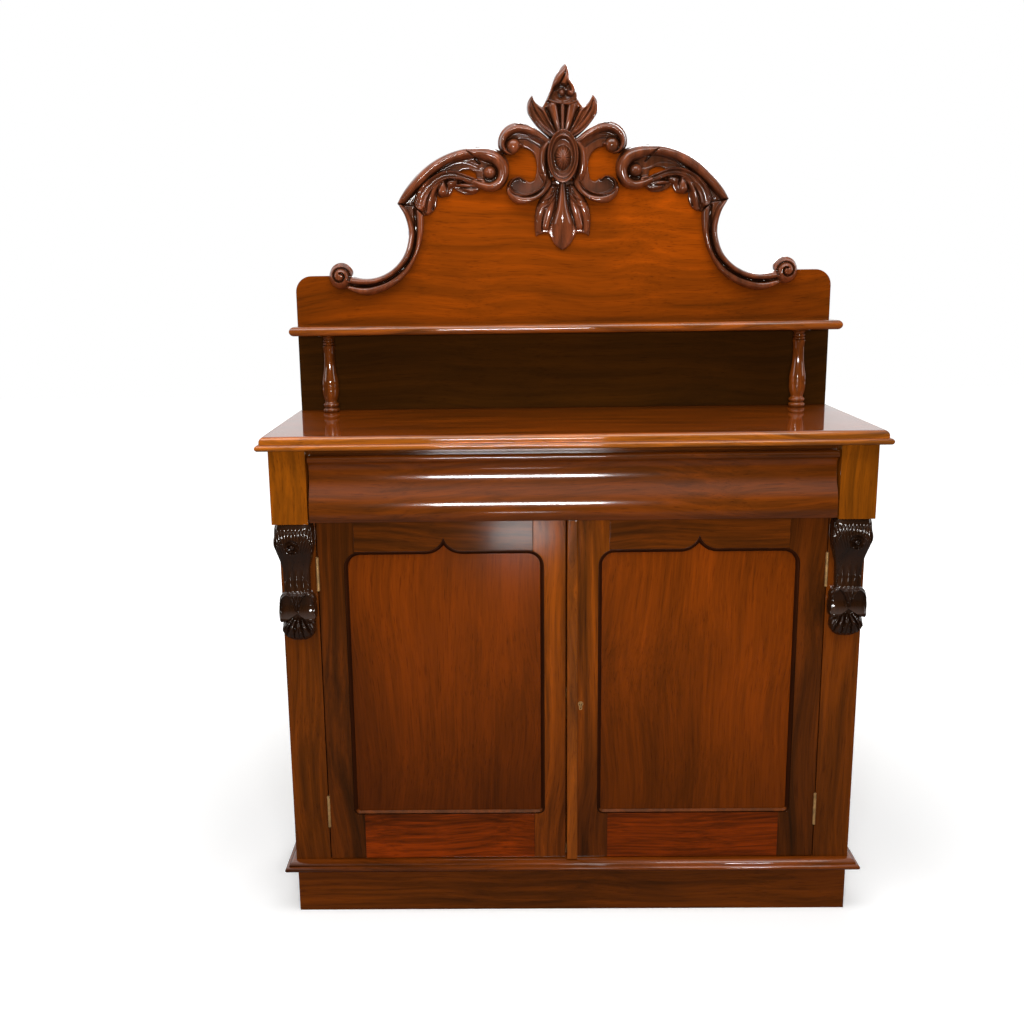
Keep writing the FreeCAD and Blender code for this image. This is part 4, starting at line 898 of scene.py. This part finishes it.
# Half profile of a column from its foot, as (radius, height, arriving radius).
COLUMN = [
    (0, 948, None), (13.6, 948, None), (13.6, 957.6, 5.2), (12.6, 958.2, None), (13.2, 959.2, None),
    (13.2, 968, 4.8), (12.6, 969, None), (12.8, 972.5, -5), (16.4, 1000, 62), (15.4, 1018, 60),
    (11.0, 1062, -190), (12.5, 1081, -70), (12.5, 1083.2, None), (10.3, 1084.2, None),
    (10.3, 1089.6, 2.9), (10.1, 1090.2, None), (10.1, 1095.8, 3.1), (10.1, 1096.6, None),
    (20.4, 1102.6, -9.5), (21.8, 1103, None), (21.8, 1106.5, None), (0, 1106.5, None),
]


def turned_column(side):
    """A column turned about its axis, from the half profile."""
    around = 72
    ring = trace(COLUMN, step=0.9)
    points, faces = [], []
    for radius, height in ring:
        for n in range(around):
            angle = math.tau * n / around
            points.append((side * COLUMN_X + radius * math.cos(angle),
                           COLUMN_Y + radius * math.sin(angle), height))
    for row in range(len(ring) - 1):
        low, high = row * around, (row + 1) * around
        for n in range(around):
            m = (n + 1) % around
            faces.append((low + n, low + m, high + m, high + n))
    mesh = mesh_of("turned_column", points, faces)
    with editing(mesh) as work:
        bmesh.ops.remove_doubles(work, verts=work.verts, dist=0.005 * MM)
        bmesh.ops.recalc_face_normals(work, faces=work.faces)
    shade(mesh, TURNED_SHARP)
    dress(link("turned_column", mesh), "column_" + hand_of(side), "turned")


# ------------------------------------------------------------------ camera, light and floor

# The camera was fitted to the photograph's upright and level edges. The angles are in radians.
CAMERA_PLACE = (-0.1116, -2.1601, 1.23685)
PITCH, YAW, ROLL = 0.2141, -0.0171, -0.0141
LENS, SENSOR, SHIFT = 39.74, 36, 0.0206

# Rectangular lamps, as (name, place, target, width, height, watts).
LAMPS = [
    ("flash", (-0.085, -2.2, 1.25), (0, 0, 1.0), 0.6, 0.16, 27),
    ("low", (-0.065, -2.16, 0.287), (-0.065, 0, 0.287), 0.21, 0.09, 1.2),
    ("ceiling", (-0.2, -1.2, 3.3), (0, 0, 0.9), 2.8, 1.4, 52),
    ("left", (-2.9, -0.8, 1.9), (0, 0, 0.8), 1.0, 1.4, 16),
    ("right", (2.9, -0.8, 1.9), (0, 0, 0.8), 1.0, 1.4, 16),
    ("rear", (0.4, 2.6, 2.2), (0, 0, 0.8), 1.4, 1.0, 30),
]
WHITE = (1, 1, 1, 1)
FLOOR_HALF, FLOOR_UNDER = 9000, 0.2     # half the floor's width, and its depth under the plinth


def camera():
    forward = Vector((math.sin(YAW) * math.cos(PITCH), math.cos(YAW) * math.cos(PITCH),
                      -math.sin(PITCH)))
    level = Vector((math.cos(YAW), -math.sin(YAW), 0))
    upright = level.cross(forward)
    right = level * math.cos(ROLL) + upright * math.sin(ROLL)
    up = upright * math.cos(ROLL) - level * math.sin(ROLL)
    turn = Matrix((right, up, -forward)).transposed()
    made = link("camera", bpy.data.cameras.new("camera"))
    made.matrix_world = Matrix.Translation(CAMERA_PLACE) @ turn.to_4x4()
    made.data.lens = LENS
    made.data.sensor_width = SENSOR
    made.data.shift_x = SHIFT
    bpy.context.scene.camera = made


def softbox(name, place, target, width, height, watts):
    made = link(name, bpy.data.lights.new(name, "AREA"))
    made.data.shape = "RECTANGLE"
    made.data.size = width
    made.data.size_y = height
    made.data.energy = watts
    made.location = place
    made.rotation_euler = (Vector(target) - Vector(place)).to_track_quat("-Z", "Y").to_euler()


def room():
    """A world that is white to the camera, mirrored as a room that is dim before the piece and
    white behind and above it, and otherwise a low even light.
    """
    world = bpy.data.worlds.new("studio")
    bpy.context.scene.world = world
    made = Nodes(world)
    heading = made.add("SeparateXYZ", {0: made.add("TexCoord").outputs["Generated"]}).outputs
    behind = made.level(heading["Y"], 0.05, 0.5, 0.012, 1.0)
    above = made.level(heading["Z"], 0.3, 0.9, 0.0, 0.9)
    seen = made.add("Background", {"Color": WHITE, "Strength": 1.0})
    mirrored = made.add("Background", {"Color": WHITE,
                                       "Strength": made.maths("MAXIMUM", behind, above)})
    ambient = made.add("Background", {"Color": (1.0, 0.98, 0.95, 1), "Strength": 0.17})
    path = made.add("LightPath").outputs
    lit = made.add("MixShader", {0: path["Is Glossy Ray"], 1: ambient.outputs[0],
                                 2: mirrored.outputs[0]})
    both = made.add("MixShader", {0: path["Is Camera Ray"], 1: lit.outputs[0], 2: seen.outputs[0]})
    made.add("OutputWorld", {0: both.outputs[0]})


def pale_floor():
    """A floor that keeps the shadow, turns white away from the piece and lights it little."""
    made = Nodes(bpy.data.materials.new("pale_floor"))
    spot = made.add("TexCoord").outputs["Object"]
    away = made.add("VectorMath", {0: spot}, operation="LENGTH").outputs["Value"]
    pale = made.add("BsdfDiffuse", {"Color": (0.9, 0.9, 0.9, 1)})
    dull = made.add("BsdfDiffuse", {"Color": (0.14, 0.14, 0.14, 1)})
    glow = made.add("Emission", {"Color": WHITE,
                                 "Strength": made.level(away, 0.75, 2.4, 0.25, 1.0)})
    bright = made.add("AddShader", {0: pale.outputs[0], 1: glow.outputs[0]})
    path = made.add("LightPath").outputs
    both = made.add("MixShader", {0: path["Is Camera Ray"], 1: dull.outputs[0],
                                  2: bright.outputs[0]})
    made.add("OutputMaterial", {"Surface": both.outputs[0]})
    corners = [(-1, -1), (1, -1), (1, 1), (-1, 1)]
    mesh = mesh_of("floor", [(x * FLOOR_HALF, y * FLOOR_HALF, -FLOOR_UNDER) for x, y in corners],
                   [(0, 1, 2, 3)])
    mesh.materials.append(made.owner)
    floor = link("floor", mesh)


# The boards, whose edges are softened, and what each is made of.
SOFTENED = {
    "case_side_left": "side_z", "case_side_right": "side_z", "stile_left": "stile",
    "stile_right": "stile", "drawer_rail": "case_x", "top_rail": "case_x", "frieze_blocks": "block",
    "plinth_front": "case_x", "plinth_ends": "case_x", "plinth_moulding": "base_rim",
    "table_top": "top", "drawer_front": "drawer", "display_shelf": "shelf", "backboard": "back",
}
for hand in ("left", "right"):
    for piece in ("hinge_stile", "meeting_stile", "top_rail", "bottom_rail", "panel", "moulding"):
        SOFTENED[f"door_{hand}_{piece}"] = "panel_" + hand if piece == "panel" else piece
SOFTENED["door_right_astragal"] = "astragal"
# The CAD nodes that are shown as they are.
PLAIN = {
    "bottom_board": "pine_x", "drawer_bearers": "pine_y", "inner_shelf": "pine_x",
    "shelf_bearers": "pine_y", "back_panels": "pine_z", "back_muntin": "pine_z",
    "plinth_back": "pine_x", "plinth_blocks": "pine_z", "drawer_sides": "pine_y",
    "drawer_back": "pine_x", "drawer_bottom": "pine_x", "case_hinges": "brass",
    "door_left_hinges": "brass", "door_right_hinges": "brass", "door_left_keepers": "brass",
    "door_right_lock": "brass", "door_right_escutcheon": "brass", "lock_bolt": "brass",
    "door_bolt_top": "brass", "door_bolt_bottom": "brass",
}

camera()
room()
for lamp in LAMPS:
    softbox(*lamp)
pale_floor()

for node, material in SOFTENED.items():
    softened(node, material)
for node, material in PLAIN.items():
    mesh = frame["nodes"][node].data
    mesh.materials.clear()
    mesh.materials.append(WOODS[material])
for side in (-1, 1):
    carve_sweep(side)
    carve_shoulder(side)
    carve_scroll(side)
    carve_corbel(side)
    turned_column(side)
carve_boss()
carve_leaf()
carve_drop()

bpy.context.scene.view_settings.view_transform = "Standard"
